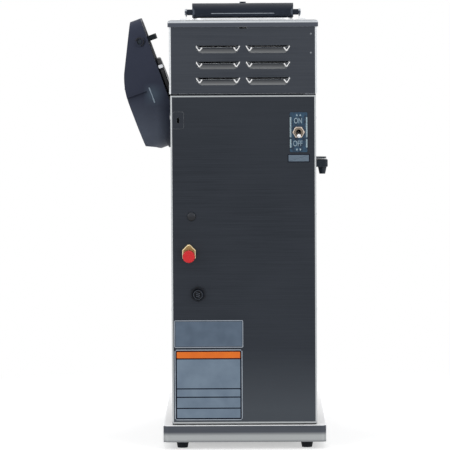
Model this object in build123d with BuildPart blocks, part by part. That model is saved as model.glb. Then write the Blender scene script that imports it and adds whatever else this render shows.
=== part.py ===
from build123d import *
import math
import os

# Airpot coffee brewer, in millimetres.
# Z is up and z = 0 is the counter. X = 0 is the middle of the trunk.
# The hood and the brew funnel face -Y, the louvred rear panel faces +Y.

# Clearances shared by many pieces
seat_gap = 0.3
running_gap = 0.05
sheet = 1.2
thin_sheet = 1.0

# Base pan and feet
base_width = 228.0
base_front_y = -210.0
base_rear_y = 222.0
base_bottom_z = 10.0
base_height = 24.0
base_wall = 1.5
base_flange = 42.0
base_corner_radius = 7.0
foot_x = 87.4
foot_inset_y = 26.0
foot_radius = 9.0
foot_tip_radius = 7.2
foot_neck_radius = 3.9
foot_head_radius = 6.0
foot_head_height = 2.5

# Trunk
trunk_width = 203.0
trunk_front_y = 6.0
trunk_rear_y = 216.0
trunk_height = 460.6
trunk_flange = 12.0
panel_return = 14.0
panel_lift = 1.5
panel_corner_radius = 2.5
panel_lap = 10.0
hem_height = 2.2
hem_thickness = 0.6
deck_thickness = 2.4
deck_margin = 0.6
deck_hole_width = 150.0
deck_hole_depth = 130.0

# Hood: the upper shroud runs from the rear to the front of the machine
hood_width = 205.8
hood_front_y = -208.0
hood_rear_step = 1.4
hood_height = 93.0
hood_front_lift = 21.0
hood_corner_radius = 2.0
hood_flange = 10.0
front_return = 12.0
cover_width = 209.5
cover_overhang_y = 2.0
cover_skirt = 9.0
cover_edge_radius = 2.4

# Louvres in the upper shroud
louvre_width = 61.5
louvre_height = 10.5
louvre_depth = 5.0
louvre_spacing_x = 69.6
louvre_spacing_z = 22.2
louvre_middle_z = 536.5
louvre_mouth = 2.2
louvre_corner_radius = 9.8
louvre_end_taper = 50
shroud_slot_width = 11.3
shroud_slot_height = 2.2
shroud_slot_drop = 1.2

# Pour-in basin and its hinged lid
basin_length_y = 112.0
basin_width = 140.0
basin_middle_y = -126.0
basin_depth = 48.0
basin_wall = 1.0
basin_corner_radius = 12.0
basin_rim_width = 7.0
basin_rim_height = 2.7
basin_drain_x = 50.0
basin_drain_y = -86.0
basin_drain_radius = 6.0
basin_spigot_length = 8.0
pour_lid_width = 148.5
pour_lid_height = 21.0
pour_lid_wall = 2.5
pour_lid_front_y = -190.0
pour_hinge_y = -66.0
pour_hinge_rise = 7.75
pour_ear_radius = 4.25
pour_ear_thickness = 7.6
pour_tail_radius = 7.0
pour_lid_corner_radius = 6.0
pour_pin_radius = 2.5
pour_pin_head_radius = 4.25
pour_pin_head_thickness = 1.5
pour_bracket_thickness = 1.5
pour_bracket_half_depth = 5.0
pour_bracket_foot = 10.0
finger_knob_width = 10.0
finger_knob_height = 2.2
finger_knob_taper = 12

# Spray head, funnel rails and brew funnel
brew_y = -112.0
spray_radius = 30.0
spray_drop = 10.5
spray_plate = 3.0
spray_stem_radius = 8.0
spray_shoulder_radius = 12.0
spray_hole_radius = 1.3
spray_nut_width = 24.0
spray_nut_height = 6.0
spray_stem_rise = 9.8
spray_plenum_radius = 25.0
spray_bore_radius = 4.0
spray_skin = 1.5
rail_inner_x = 81.0
rail_outer_x = 91.0
rail_sheet = 1.6
rail_drop = 20.4
rail_slot_height = 6.8
rail_lip = 8.0
rail_top_flange = 12.0
rail_front_margin = 4.0
funnel_flange_thickness = 5.5
funnel_flange_half_width = 88.8
funnel_flange_half_depth = 80.0
funnel_flange_radius = 30.0
funnel_top_radius = 79.0
funnel_low_radius = 60.0
funnel_wall = 2.4
funnel_wall_height = 56.0
funnel_cone_height = 10.0
funnel_outlet_radius = 9.0
funnel_outlet_bore = 5.0
funnel_outlet_length = 6.0
funnel_rib_count = 12
funnel_rib_height = 34.0
funnel_rib_depth = 2.2
handle_width = 26.0
handle_thickness = 15.0
handle_reach_y = -248.0
handle_rise = 34.0
handle_drop = 1.5
handle_elbow_drop = 22.5
handle_edge_radius = 5.0

# Controls on the front of the hood
switch_x = 42.0
switch_z = 557.0
switch_frame_width = 26.0
switch_frame_height = 40.0
switch_frame_thickness = 2.0
switch_body_width = 22.0
switch_body_height = 35.0
switch_body_depth = 24.0
switch_window_width = 19.0
switch_window_height = 31.0
switch_window_depth = 13.0
rocker_tilt = 7.0
rocker_thickness = 7.0
rocker_axis_depth = 2.0
rocker_pin_radius = 1.2
rocker_pin_length = 1.0
lamp_radius = 6.5
lamp_body_radius = 5.0
lamp_body_length = 18.0

# Fittings on the rear panel
toggle_x = -77.0
toggle_z = 443.0
toggle_plate_width = 24.5
toggle_plate_height = 55.6
toggle_plate_thickness = 1.0
toggle_bush_radius = 5.9
toggle_bush_bore = 4.2
toggle_nut_radius = 8.6
toggle_nut_height = 2.4
toggle_body_width = 18.0
toggle_body_height = 30.0
toggle_body_depth = 22.0
toggle_pivot_depth = 3.0
toggle_pin_radius = 1.0
toggle_pin_half_length = 3.8
toggle_throw = 12.5
toggle_ball_radius = 2.6
toggle_neck_radius = 1.5
toggle_tip_radius = 3.1
toggle_lever_length = 21.0
vent_x = 90.8
vent_z = 460.2
vent_width = 15.7
vent_height = 23.8
vent_raise = 0.8
vent_slit_width = 3.2
vent_slit_height = 8.0
plug_x = 73.0
plug_z = 326.0
plug_radius = 6.2
plug_stem_radius = 5.0
plug_thickness = 3.2
plug_edge_radius = 2.4
inlet_x = 76.6
inlet_z = 271.5
inlet_block_width = 18.6
inlet_block_height = 25.0
inlet_block_rise = 3.3
inlet_block_depth = 10.0
inlet_shoulder_share = 0.41
inlet_barrel_radius = 6.0
inlet_barrel_length = 14.0
inlet_bore_radius = 3.0
inlet_shank_radius = 8.0
inlet_shank_length = 16.0
inlet_cap_radius = 8.5
inlet_cap_length = 15.0
inlet_cap_start = 2.0
inlet_cap_flutes = 14
inlet_cap_flute_radius = 1.0
gland_x = 64.3
gland_z = 217.4
gland_hex_width = 18.6
gland_hex_depth = 6.0
gland_dome_radius = 8.6
gland_dome_depth = 9.0
gland_dome_taper = 18
gland_shank_radius = 8.0
gland_shank_length = 15.0
gland_bore_radius = 4.3
gland_nut_width = 22.0
gland_nut_depth = 5.0

# Hot water tank and what is fitted round it inside the trunk
tank_y = 112.0
tank_radius = 78.0
tank_wall = 1.2
tank_bottom_z = 118.0
tank_height = 306.0
tank_rim_radius = 84.0
tank_rim_thickness = 1.6
gasket_thickness = 2.0
tank_lid_thickness = 2.0
stand_leg_radius = 60.0
stand_leg_width = 24.0
stand_leg_count = 3
element_half_width = 26.0
element_radius = 4.0
element_depth = 240.0
element_bend_radius = 18.0
element_y = 88.0
element_terminal = 16.0
thermostat_x = 0.0
thermostat_y = 150.0
thermostat_radius = 13.0
thermostat_cap_radius = 9.0
thermostat_height = 11.0
thermostat_tab_width = 6.0
thermostat_tab_spacing = 10.4
brew_pipe_radius = 5.0
brew_pipe_y = 62.0
brew_pipe_z = 541.0
brew_pipe_bend = 9.0
drain_pipe_radius = 5.0
drain_pipe_y = 112.0
drain_pipe_z = 531.0
drain_pipe_bend = 10.0
valve_width = 26.0
valve_height = 26.0
valve_coil_radius = 13.0
valve_coil_height = 26.0
fill_pipe_radius = 3.2
board_width = 60.0
board_height = 90.0
board_thickness = 1.6
board_z = 60.0
board_standoff = 5.0
board_hole_inset = 6.0
standoff_radius = 3.0
relay_width = 16.0
relay_height = 20.0
relay_depth = 12.0
relay_spacing = 20.0
block_width = 50.0
block_height = 14.0
block_depth = 20.0
block_slot_width = 6.0
block_slot_spacing = 10.0
block_slot_depth = 7.0

# Airpot, standing on the base with its spout towards -X
pot_ring_radius = 84.0
pot_ring_height = 20.0
pot_ring_floor = 3.0
pot_radius = 81.5
pot_wall = 1.0
pot_body_top_z = 384.0
collar_height = 33.5
collar_radius = 84.0
collar_wall = 4.0
collar_mouth_radius = 53.0
collar_skirt = 10.0
liner_radius = 72.0
liner_foot_radius = 57.6
liner_shoulder_rise = 25.6
liner_neck_radius = 40.0
liner_wall = 1.5
liner_bottom_z = 62.0
liner_shoulder_z = 340.0
liner_top_z = 398.0
spout_reach = 125.0
spout_half_width = 13.0
spout_top_drop = 26.5
spout_height = 11.0
spout_tip_x = -117.0
spout_tip_drop = 48.0
spout_bore = 2.9
nozzle_tip_radius = 4.4
nozzle_root_radius = 6.6
beak_gap = 1.4
beak_thickness = 2.4
beak_reach = 123.0
beak_half_width = 17.0

# Airpot lid, swung open 110 degrees about its hinge at +X
lid_hinge_x = 84.0
lid_hinge_z = 418.0
lid_lean = 20.0
lid_length = 195.0
lid_nose_height = 22.0
lid_height = 64.0
lid_slope_end = 92.0
lid_back_start = 16.0
lid_back_height = 33.0
lid_ledge_height = 27.0
lid_ledge_step = 3.0
lid_half_width = 83.0
lid_nose_half_width = 60.0
lid_nose_radius = 22.0
lid_wall = 2.5
lid_back_gap = 9.0
hinge_pin_radius = 3.0
hinge_knuckle_radius = 6.0
hinge_half_length = 30.0
hinge_middle_half_length = 16.0
stopper_radius = 48.0
stopper_drop = 7.0
stopper_middle = 84.0
lid_plate_thickness = 2.0
bellows_radius = 40.0
bellows_height = 27.0
bellows_folds = 4
bellows_fold_depth = 5.0
lever_half_width = 33.0
lever_start = 100.0
lever_end = 184.0
lever_thickness = 5.2
lever_pin_radius = 2.0
lever_pin_inset = 5.0
lever_well_depth = 17.0
latch_distance = 163.0
latch_height = 12.0
latch_pin_radius = 3.0
latch_peg_width = 12.0
latch_peg_length = 8.0
latch_peg_drop = 12.0
latch_peg_y = 24.0
latch_boss_radius = 7.5
latch_boss_inner_y = 57.0
latch_boss_outer_y = 66.5
latch_travel = 7.0

# Heights and places that follow from the sizes above
base_top_z = base_bottom_z + base_height
base_depth = base_rear_y - base_front_y
base_middle_y = (base_rear_y + base_front_y) / 2
trunk_top_z = base_top_z + trunk_height
trunk_depth = trunk_rear_y - trunk_front_y
trunk_middle_y = (trunk_rear_y + trunk_front_y) / 2
deck_top_z = trunk_top_z + deck_thickness
hood_rear_y = trunk_rear_y + hood_rear_step
hood_depth = hood_rear_y - hood_front_y
hood_middle_y = (hood_rear_y + hood_front_y) / 2
hood_top_z = deck_top_z + hood_height
hood_floor_z = deck_top_z + hood_front_lift
cover_top_z = hood_top_z + cover_skirt
shroud_top_z = cover_top_z - sheet - seat_gap
floor_plate_z = hood_floor_z + thin_sheet
floor_top_z = floor_plate_z + sheet
pour_hinge_z = cover_top_z + basin_rim_height + seat_gap + pour_hinge_rise
pour_lid_z = cover_top_z + basin_rim_height + seat_gap
pour_ear_outer_x = pour_lid_width / 2 + pour_ear_thickness
pour_bracket_x = pour_ear_outer_x + seat_gap
tank_top_z = tank_bottom_z + tank_height
gasket_z = tank_top_z
tank_lid_z = gasket_z + gasket_thickness
tank_lid_top_z = tank_lid_z + tank_lid_thickness
pot_ring_z = base_top_z + seat_gap
pot_body_z = pot_ring_z + pot_ring_floor
collar_top_z = pot_body_top_z + collar_height
lid_tilt = math.radians(lid_lean)
panel_inner_y = trunk_rear_y - thin_sheet


def at_y(y):
    """A sketch plane across the machine at depth y: sketch x is X, sketch y is Z."""
    return Plane.XZ.offset(-y)


def at_x(x):
    """A sketch plane along the machine at x: sketch x is Y, sketch y is Z."""
    return Plane.YZ.offset(x)


def at_z(z):
    """A level sketch plane at height z."""
    return Plane.XY.offset(z)


def save(piece, name):
    """Labels a finished piece and writes it as a STEP file."""
    piece.part.label = name
    export_step(piece.part, f"parts/{name}.step")


# Alignments: standing on a place, or reaching back or forward from an edge
standing = (Align.CENTER, Align.CENTER, Align.MIN)
front_edge = (Align.CENTER, Align.MIN)
rear_edge = (Align.CENTER, Align.MAX)

os.makedirs("parts", exist_ok=True)

# Base pan: one folded steel pan, open below inside its return flange
foot_front_y = base_front_y + foot_inset_y
foot_rear_y = base_rear_y - foot_inset_y
foot_places = [(x, y) for x in (-foot_x, foot_x) for y in (foot_front_y, foot_rear_y)]
with BuildPart() as base_pan:
    with BuildSketch(at_z(base_bottom_z)):
        with Locations((0, base_middle_y)):
            RectangleRounded(base_width, base_depth, base_corner_radius)
    extrude(amount=base_height)
    fillet(base_pan.faces().sort_by(Axis.Z)[-1].edges(), base_wall)
    with BuildSketch(at_z(base_bottom_z + base_wall)):
        with Locations((0, base_middle_y)):
            RectangleRounded(
                base_width - 2 * base_wall,
                base_depth - 2 * base_wall,
                base_corner_radius - base_wall,
            )
    extrude(amount=base_height - 2 * base_wall, mode=Mode.SUBTRACT)
    with BuildSketch(at_z(base_bottom_z)):
        with Locations((0, base_middle_y)):
            RectangleRounded(
                base_width - 2 * base_flange,
                base_depth - 2 * base_flange,
                base_corner_radius,
            )
        with Locations(*foot_places):
            Circle(foot_neck_radius + seat_gap)
    extrude(amount=base_wall, mode=Mode.SUBTRACT)
save(base_pan, "base_pan")

# Feet: rubber, pushed into the return flange and held by a mushroom head
with BuildPart() as feet:
    for place in foot_places:
        with Locations((*place, 0)):
            Cone(foot_tip_radius, foot_radius, base_bottom_z, align=standing)
        with Locations((*place, base_bottom_z)):
            Cylinder(foot_neck_radius, base_wall, align=standing)
        with Locations((*place, base_bottom_z + base_wall)):
            Cone(foot_head_radius, foot_neck_radius, foot_head_height, align=standing)
save(feet, "feet")

# Trunk shell: front and sides folded from one sheet, open to the rear
trunk_side_end_y = trunk_rear_y - panel_return - seat_gap
flange_run_y = trunk_side_end_y - panel_lap - trunk_front_y - sheet
with BuildPart() as trunk_shell:
    with BuildSketch(at_z(base_top_z)):
        with Locations((0, trunk_front_y)):
            Rectangle(trunk_width, trunk_side_end_y - trunk_front_y, align=front_edge)
        with Locations((0, trunk_front_y + sheet)):
            Rectangle(trunk_width - 2 * sheet, trunk_depth, align=front_edge, mode=Mode.SUBTRACT)
        for side in (-1, 1):
            with Locations((side * (trunk_width / 2 - 1.5 * sheet), trunk_side_end_y)):
                Rectangle(sheet, 2 * panel_lap)
    extrude(amount=trunk_height)
    fillet(
        trunk_shell.edges().filter_by(Axis.Z).group_by(Axis.Y)[0],
        panel_corner_radius,
    )
    for z in (base_top_z, trunk_top_z - sheet):
        with BuildSketch(at_z(z)):
            with Locations((0, trunk_front_y + sheet)):
                Rectangle(trunk_width - 2 * sheet, flange_run_y, align=front_edge)
            with Locations((0, trunk_front_y + sheet + trunk_flange)):
                Rectangle(
                    trunk_width - 2 * sheet - 2 * trunk_flange,
                    trunk_depth,
                    align=front_edge,
                    mode=Mode.SUBTRACT,
                )
        extrude(amount=sheet)
save(trunk_shell, "trunk_shell")

# Rear panel: flat sheet with side returns, a hem, and a hole for each fitting
panel_bottom_z = base_top_z + panel_lift
panel_height = trunk_top_z - panel_bottom_z
with BuildPart() as rear_panel:
    with BuildSketch(at_z(panel_bottom_z)):
        with Locations((0, trunk_rear_y)):
            Rectangle(trunk_width, panel_return, align=rear_edge)
        with Locations((0, trunk_rear_y - thin_sheet)):
            Rectangle(
                trunk_width - 2 * thin_sheet,
                panel_return,
                align=rear_edge,
                mode=Mode.SUBTRACT,
            )
    extrude(amount=panel_height)
    fillet(
        rear_panel.edges().filter_by(Axis.Z).group_by(Axis.Y)[-1],
        panel_corner_radius,
    )
    with BuildSketch(at_y(trunk_rear_y)):
        with Locations((0, panel_bottom_z)):
            Rectangle(
                trunk_width - 2 * panel_corner_radius,
                hem_height,
                align=(Align.CENTER, Align.MIN),
            )
    extrude(amount=-hem_thickness)
    with BuildSketch(at_y(trunk_rear_y)):
        with Locations((vent_x, vent_z)):
            RectangleRounded(vent_width, vent_height, panel_corner_radius)
    extrude(amount=-vent_raise)
    with BuildSketch(at_y(trunk_rear_y + vent_raise)):
        with Locations((toggle_x, toggle_z)):
            Circle(toggle_bush_radius + seat_gap)
        with Locations((plug_x, plug_z)):
            Circle(plug_stem_radius + seat_gap)
        with Locations((inlet_x, inlet_z)):
            Circle(inlet_shank_radius + seat_gap)
        with Locations((gland_x, gland_z)):
            Circle(gland_shank_radius + seat_gap)
        with Locations((vent_x, vent_z)):
            SlotOverall(vent_slit_height, vent_slit_width, rotation=90)
    extrude(amount=vent_raise + 2 * thin_sheet, mode=Mode.SUBTRACT)
save(rear_panel, "rear_panel")

# Deck: the level plate between trunk and hood, open over the tank
with BuildPart() as trunk_deck:
    with BuildSketch(at_z(trunk_top_z)):
        with Locations((0, trunk_front_y)):
            Rectangle(
                trunk_width - 2 * deck_margin,
                trunk_depth - deck_margin,
                align=front_edge,
            )
        with Locations((0, trunk_middle_y)):
            RectangleRounded(
                deck_hole_width, deck_hole_depth, trunk_flange, mode=Mode.SUBTRACT
            )
    extrude(amount=deck_thickness)
save(trunk_deck, "trunk_deck")

# Louvre: a pressing that slopes out from its rounded lower edge to an open mouth above.
# Its hollow is the same tapered shape set back by the sheet and run out of the mouth.
louvre_low_z = -louvre_height / 2
louvre_rise = louvre_height - louvre_mouth
with BuildPart() as louvre_press:
    with BuildSketch(at_y(0)) as press_outline:
        with Locations((0, louvre_low_z)):
            Rectangle(
                louvre_width, louvre_height + 2 * louvre_depth, align=(Align.CENTER, Align.MIN)
            )
        fillet(press_outline.vertices().group_by(Axis.Y)[0], louvre_corner_radius)
    extrude(amount=-louvre_depth, taper=louvre_end_taper)
    with BuildSketch(at_x(-louvre_width / 2)):
        with BuildLine():
            Polyline(
                (0, louvre_low_z),
                (0, louvre_height / 2),
                (louvre_depth, louvre_low_z + louvre_rise),
                close=True,
            )
        make_face()
    extrude(amount=louvre_width, mode=Mode.INTERSECT)

with BuildPart() as louvre_hollow:
    with BuildSketch(at_y(-thin_sheet)) as hollow_outline:
        with Locations((0, louvre_low_z)):
            Rectangle(
                louvre_width, louvre_height + 2 * louvre_depth, align=(Align.CENTER, Align.MIN)
            )
        fillet(hollow_outline.vertices().group_by(Axis.Y)[0], louvre_corner_radius)
    extrude(amount=-louvre_depth - thin_sheet / 2, taper=louvre_end_taper)
    with BuildSketch(at_x(-louvre_width / 2)):
        with BuildLine():
            Polyline(
                (-thin_sheet, louvre_low_z),
                (2 * louvre_depth - thin_sheet, louvre_low_z + 2 * louvre_rise),
                (0, louvre_height / 2),
                (-thin_sheet, louvre_height / 2),
                close=True,
            )
        make_face()
    extrude(amount=louvre_width, mode=Mode.INTERSECT)

# Upper shroud: rear and sides of the hood, raised at the front over the airpot
shroud_height = shroud_top_z - deck_top_z
shroud_front_y = hood_front_y + sheet + seat_gap
slope_end_y = trunk_front_y - hood_front_lift
louvre_places = [
    (column * louvre_spacing_x / 2, hood_rear_y, louvre_middle_z + row * louvre_spacing_z)
    for column in (-1, 1)
    for row in (-1, 0, 1)
]
with BuildPart() as upper_shroud:
    with BuildSketch(at_z(deck_top_z)):
        with Locations((0, hood_rear_y)):
            Rectangle(hood_width, hood_rear_y - shroud_front_y, align=rear_edge)
        with Locations((0, hood_rear_y - thin_sheet)):
            Rectangle(
                hood_width - 2 * thin_sheet,
                hood_depth,
                align=rear_edge,
                mode=Mode.SUBTRACT,
            )
    extrude(amount=shroud_height)
    fillet(
        upper_shroud.edges().filter_by(Axis.Z).group_by(Axis.Y)[-1],
        hood_corner_radius,
    )
    with BuildSketch(at_x(-cover_width / 2)):
        with BuildLine():
            Polyline(
                (trunk_front_y, deck_top_z),
                (slope_end_y, hood_floor_z),
                (hood_front_y, hood_floor_z),
                (hood_front_y, deck_top_z),
                close=True,
            )
        make_face()
    extrude(amount=cover_width, mode=Mode.SUBTRACT)
    with BuildSketch(at_z(deck_top_z)):
        with Locations((0, hood_rear_y - thin_sheet)):
            Rectangle(
                hood_width - 2 * thin_sheet,
                trunk_depth - trunk_flange,
                align=rear_edge,
            )
        with Locations((0, hood_rear_y - thin_sheet - hood_flange)):
            Rectangle(
                hood_width - 2 * thin_sheet - 2 * hood_flange,
                trunk_depth,
                align=rear_edge,
                mode=Mode.SUBTRACT,
            )
    extrude(amount=thin_sheet)
    with BuildSketch(at_z(hood_floor_z)):
        for side in (-1, 1):
            with Locations((side * (hood_width / 2 - thin_sheet - hood_flange / 2), slope_end_y)):
                Rectangle(
                    hood_flange,
                    slope_end_y - hood_front_y - front_return - 2 * sheet,
                    align=rear_edge,
                )
    extrude(amount=thin_sheet)
    with Locations(*louvre_places):
        add(louvre_press.part)
        add(louvre_hollow.part, mode=Mode.SUBTRACT)
    with BuildSketch(at_y(hood_rear_y)):
        with Locations((0, hood_top_z - shroud_slot_drop)):
            SlotOverall(shroud_slot_width, shroud_slot_height)
    extrude(amount=2 * thin_sheet, mode=Mode.SUBTRACT)
save(upper_shroud, "upper_shroud")

# Hood floor: folded plate under the hood, seated on the deck at its rear leg
with BuildPart() as hood_floor:
    with BuildSketch(at_x(-hood_width / 2 + thin_sheet + seat_gap)):
        with BuildLine():
            Polyline(
                (shroud_front_y, floor_plate_z),
                (trunk_front_y, floor_plate_z),
                (trunk_front_y, deck_top_z),
                (trunk_front_y + sheet, deck_top_z),
                (trunk_front_y + sheet, floor_top_z),
                (shroud_front_y, floor_top_z),
                close=True,
            )
        make_face()
    extrude(amount=hood_width - 2 * thin_sheet - 2 * seat_gap)
    with BuildSketch(at_z(floor_top_z)):
        with Locations((0, brew_y)):
            Circle(spray_stem_radius + seat_gap)
    extrude(amount=-sheet, mode=Mode.SUBTRACT)
save(hood_floor, "hood_floor")

# Front panel of the hood, with windows for the two switches and the lamp
front_panel_height = shroud_top_z - hood_floor_z
return_x = hood_width / 2 - thin_sheet - seat_gap
with BuildPart() as front_panel:
    with BuildSketch(at_y(hood_front_y)):
        with Locations((0, hood_floor_z)):
            Rectangle(hood_width, front_panel_height, align=(Align.CENTER, Align.MIN))
    extrude(amount=-sheet)
    with BuildSketch(at_z(hood_floor_z)):
        with Locations((0, hood_front_y)):
            Rectangle(2 * return_x, front_return, align=front_edge)
    extrude(amount=thin_sheet)
    with BuildSketch(at_z(floor_top_z + seat_gap)):
        for side in (-1, 1):
            with Locations((side * (return_x - sheet / 2), hood_front_y)):
                Rectangle(sheet, front_return, align=front_edge)
    extrude(amount=shroud_top_z - floor_top_z - seat_gap)
    with BuildSketch(at_y(hood_front_y)):
        with Locations((-switch_x, switch_z), (switch_x, switch_z)):
            Rectangle(switch_body_width + 2 * seat_gap, switch_body_height + 2 * seat_gap)
        with Locations((0, switch_z)):
            Circle(lamp_body_radius + seat_gap)
    extrude(amount=-sheet, mode=Mode.SUBTRACT)
save(front_panel, "front_panel")

# Top cover: a lid with a turned-down skirt over the shroud, open for the basin
cover_depth = hood_depth + 2 * cover_overhang_y
basin_hole_grow = 2 * (basin_wall + seat_gap)
with BuildPart() as top_cover:
    with BuildSketch(at_z(hood_top_z)):
        with Locations((0, hood_middle_y)):
            RectangleRounded(cover_width, cover_depth, cover_edge_radius)
    extrude(amount=cover_skirt)
    fillet(top_cover.faces().sort_by(Axis.Z)[-1].edges(), cover_edge_radius)
    with BuildSketch(at_z(hood_top_z)):
        with Locations((0, hood_middle_y)):
            RectangleRounded(
                cover_width - 2 * sheet, cover_depth - 2 * sheet, cover_edge_radius - sheet
            )
    extrude(amount=cover_skirt - sheet, mode=Mode.SUBTRACT)
    with BuildSketch(at_z(cover_top_z)):
        with Locations((0, basin_middle_y)):
            RectangleRounded(
                basin_width + basin_hole_grow,
                basin_length_y + basin_hole_grow,
                basin_corner_radius + basin_wall,
            )
    extrude(amount=-sheet, mode=Mode.SUBTRACT)
save(top_cover, "top_cover")

# Pour-in basin: a pressed tub hung by its raised rim, with a drain spigot
basin_floor_z = cover_top_z - basin_depth
with BuildPart() as pour_basin:
    with BuildSketch(at_z(cover_top_z)):
        with Locations((0, basin_middle_y)):
            RectangleRounded(
                basin_width + 2 * basin_rim_width,
                basin_length_y + 2 * basin_rim_width,
                basin_corner_radius + basin_rim_width,
            )
    extrude(amount=basin_rim_height)
    fillet(pour_basin.faces().sort_by(Axis.Z)[-1].edges(), basin_wall)
    with BuildSketch(at_z(basin_floor_z)):
        with Locations((0, basin_middle_y)):
            RectangleRounded(
                basin_width + 2 * basin_wall,
                basin_length_y + 2 * basin_wall,
                basin_corner_radius + basin_wall,
            )
    extrude(amount=basin_depth)
    with BuildSketch(at_z(basin_floor_z + basin_wall)):
        with Locations((0, basin_middle_y)):
            RectangleRounded(basin_width, basin_length_y, basin_corner_radius)
    extrude(amount=basin_depth + basin_rim_height, mode=Mode.SUBTRACT)
    with BuildSketch(at_z(basin_floor_z)):
        with Locations((basin_drain_x, basin_drain_y)):
            Circle(basin_drain_radius)
    extrude(amount=-basin_spigot_length)
    with BuildSketch(at_z(basin_floor_z + basin_wall)):
        with Locations((basin_drain_x, basin_drain_y)):
            Circle(basin_drain_radius - basin_wall)
    extrude(amount=-basin_wall - basin_spigot_length, mode=Mode.SUBTRACT)
save(pour_basin, "pour_basin")

# Pour lid: a black moulded cover with a rounded tail and a hinge ear on each side
pour_lid_top_z = pour_lid_z + pour_lid_height
pour_lid_tail_y = pour_hinge_y + pour_tail_radius
pour_lid_depth = pour_lid_tail_y - pour_lid_front_y
with BuildPart() as pour_lid:
    with BuildSketch(at_x(-pour_lid_width / 2)):
        with BuildLine():
            Line((pour_hinge_y - pour_tail_radius, pour_lid_z), (pour_lid_front_y, pour_lid_z))
            Line(
                (pour_lid_front_y, pour_lid_z),
                (pour_lid_front_y, pour_lid_top_z - pour_lid_corner_radius),
            )
            Bezier(
                (pour_lid_front_y, pour_lid_top_z - pour_lid_corner_radius),
                (pour_lid_front_y, pour_lid_top_z),
                (pour_lid_front_y + 2 * pour_lid_corner_radius, pour_lid_top_z),
            )
            Line(
                (pour_lid_front_y + 2 * pour_lid_corner_radius, pour_lid_top_z),
                (pour_hinge_y - 3 * pour_tail_radius, pour_lid_top_z),
            )
            Bezier(
                (pour_hinge_y - 3 * pour_tail_radius, pour_lid_top_z),
                (pour_hinge_y, pour_lid_top_z),
                (pour_lid_tail_y, pour_hinge_z + pour_tail_radius),
                (pour_lid_tail_y, pour_hinge_z),
            )
            RadiusArc(
                (pour_lid_tail_y, pour_hinge_z),
                (pour_hinge_y, pour_hinge_z - pour_tail_radius),
                pour_tail_radius,
            )
            Line(
                (pour_hinge_y, pour_hinge_z - pour_tail_radius),
                (pour_hinge_y - pour_tail_radius, pour_lid_z),
            )
        make_face()
    extrude(amount=pour_lid_width)
    with BuildSketch(at_z(pour_lid_z)):
        with Locations((0, pour_lid_front_y)):
            RectangleRounded(
                pour_lid_width, pour_lid_depth, pour_lid_corner_radius, align=front_edge
            )
    extrude(amount=pour_lid_height, mode=Mode.INTERSECT)
    with BuildSketch(at_z(pour_lid_z)):
        with Locations((0, pour_lid_front_y + pour_lid_wall)):
            RectangleRounded(
                pour_lid_width - 2 * pour_lid_wall,
                pour_lid_depth - 3 * pour_tail_radius - pour_lid_wall,
                pour_lid_corner_radius - pour_lid_wall,
                align=front_edge,
            )
    extrude(amount=pour_lid_height - pour_lid_wall, mode=Mode.SUBTRACT)
    for side in (-1, 1):
        with BuildSketch(at_x(side * (pour_lid_width / 2 - pour_lid_wall))):
            with Locations((pour_hinge_y, pour_hinge_z)):
                Circle(pour_ear_radius)
        extrude(amount=side * (pour_ear_thickness + pour_lid_wall))
        with BuildSketch(at_x(side * pour_ear_outer_x)):
            with Locations((pour_hinge_y, pour_hinge_z)):
                Circle(pour_pin_radius + running_gap)
        extrude(amount=-side * (pour_ear_thickness + pour_lid_wall), mode=Mode.SUBTRACT)
    with BuildSketch(at_z(pour_lid_top_z)):
        with Locations((0, pour_lid_front_y + 3 * pour_lid_corner_radius)):
            SlotOverall(2 * finger_knob_width, finger_knob_width, rotation=90)
    extrude(amount=finger_knob_height, taper=finger_knob_taper)
save(pour_lid, "pour_lid")

# Hinge brackets: steel angles standing on the cover outside the lid's ears
with BuildPart() as pour_brackets:
    for side in (-1, 1):
        with BuildSketch(at_x(side * pour_bracket_x)):
            with Locations((pour_hinge_y, cover_top_z)):
                Rectangle(
                    2 * pour_bracket_half_depth,
                    pour_hinge_z - cover_top_z,
                    align=(Align.CENTER, Align.MIN),
                )
            with Locations((pour_hinge_y, pour_hinge_z)):
                Circle(pour_bracket_half_depth)
                Circle(pour_pin_radius, mode=Mode.SUBTRACT)
        extrude(amount=side * pour_bracket_thickness)
        with BuildSketch(at_z(cover_top_z)):
            with Locations((side * (pour_bracket_x + pour_bracket_foot / 2), pour_hinge_y)):
                Rectangle(pour_bracket_foot, 2 * pour_bracket_half_depth)
        extrude(amount=pour_bracket_thickness)
save(pour_brackets, "pour_brackets")

# Hinge pins: headed steel pins fixed in the brackets
pin_outer_x = pour_bracket_x + pour_bracket_thickness
with BuildPart() as pour_pins:
    for side in (-1, 1):
        with BuildSketch(at_x(side * pin_outer_x)):
            with Locations((pour_hinge_y, pour_hinge_z)):
                Circle(pour_pin_radius)
        extrude(amount=-side * (pin_outer_x - pour_lid_width / 2 + pour_lid_wall - seat_gap))
        with BuildSketch(at_x(side * pin_outer_x)):
            with Locations((pour_hinge_y, pour_hinge_z)):
                Circle(pour_pin_head_radius)
        extrude(amount=side * pour_pin_head_thickness)
save(pour_pins, "pour_pins")

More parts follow.
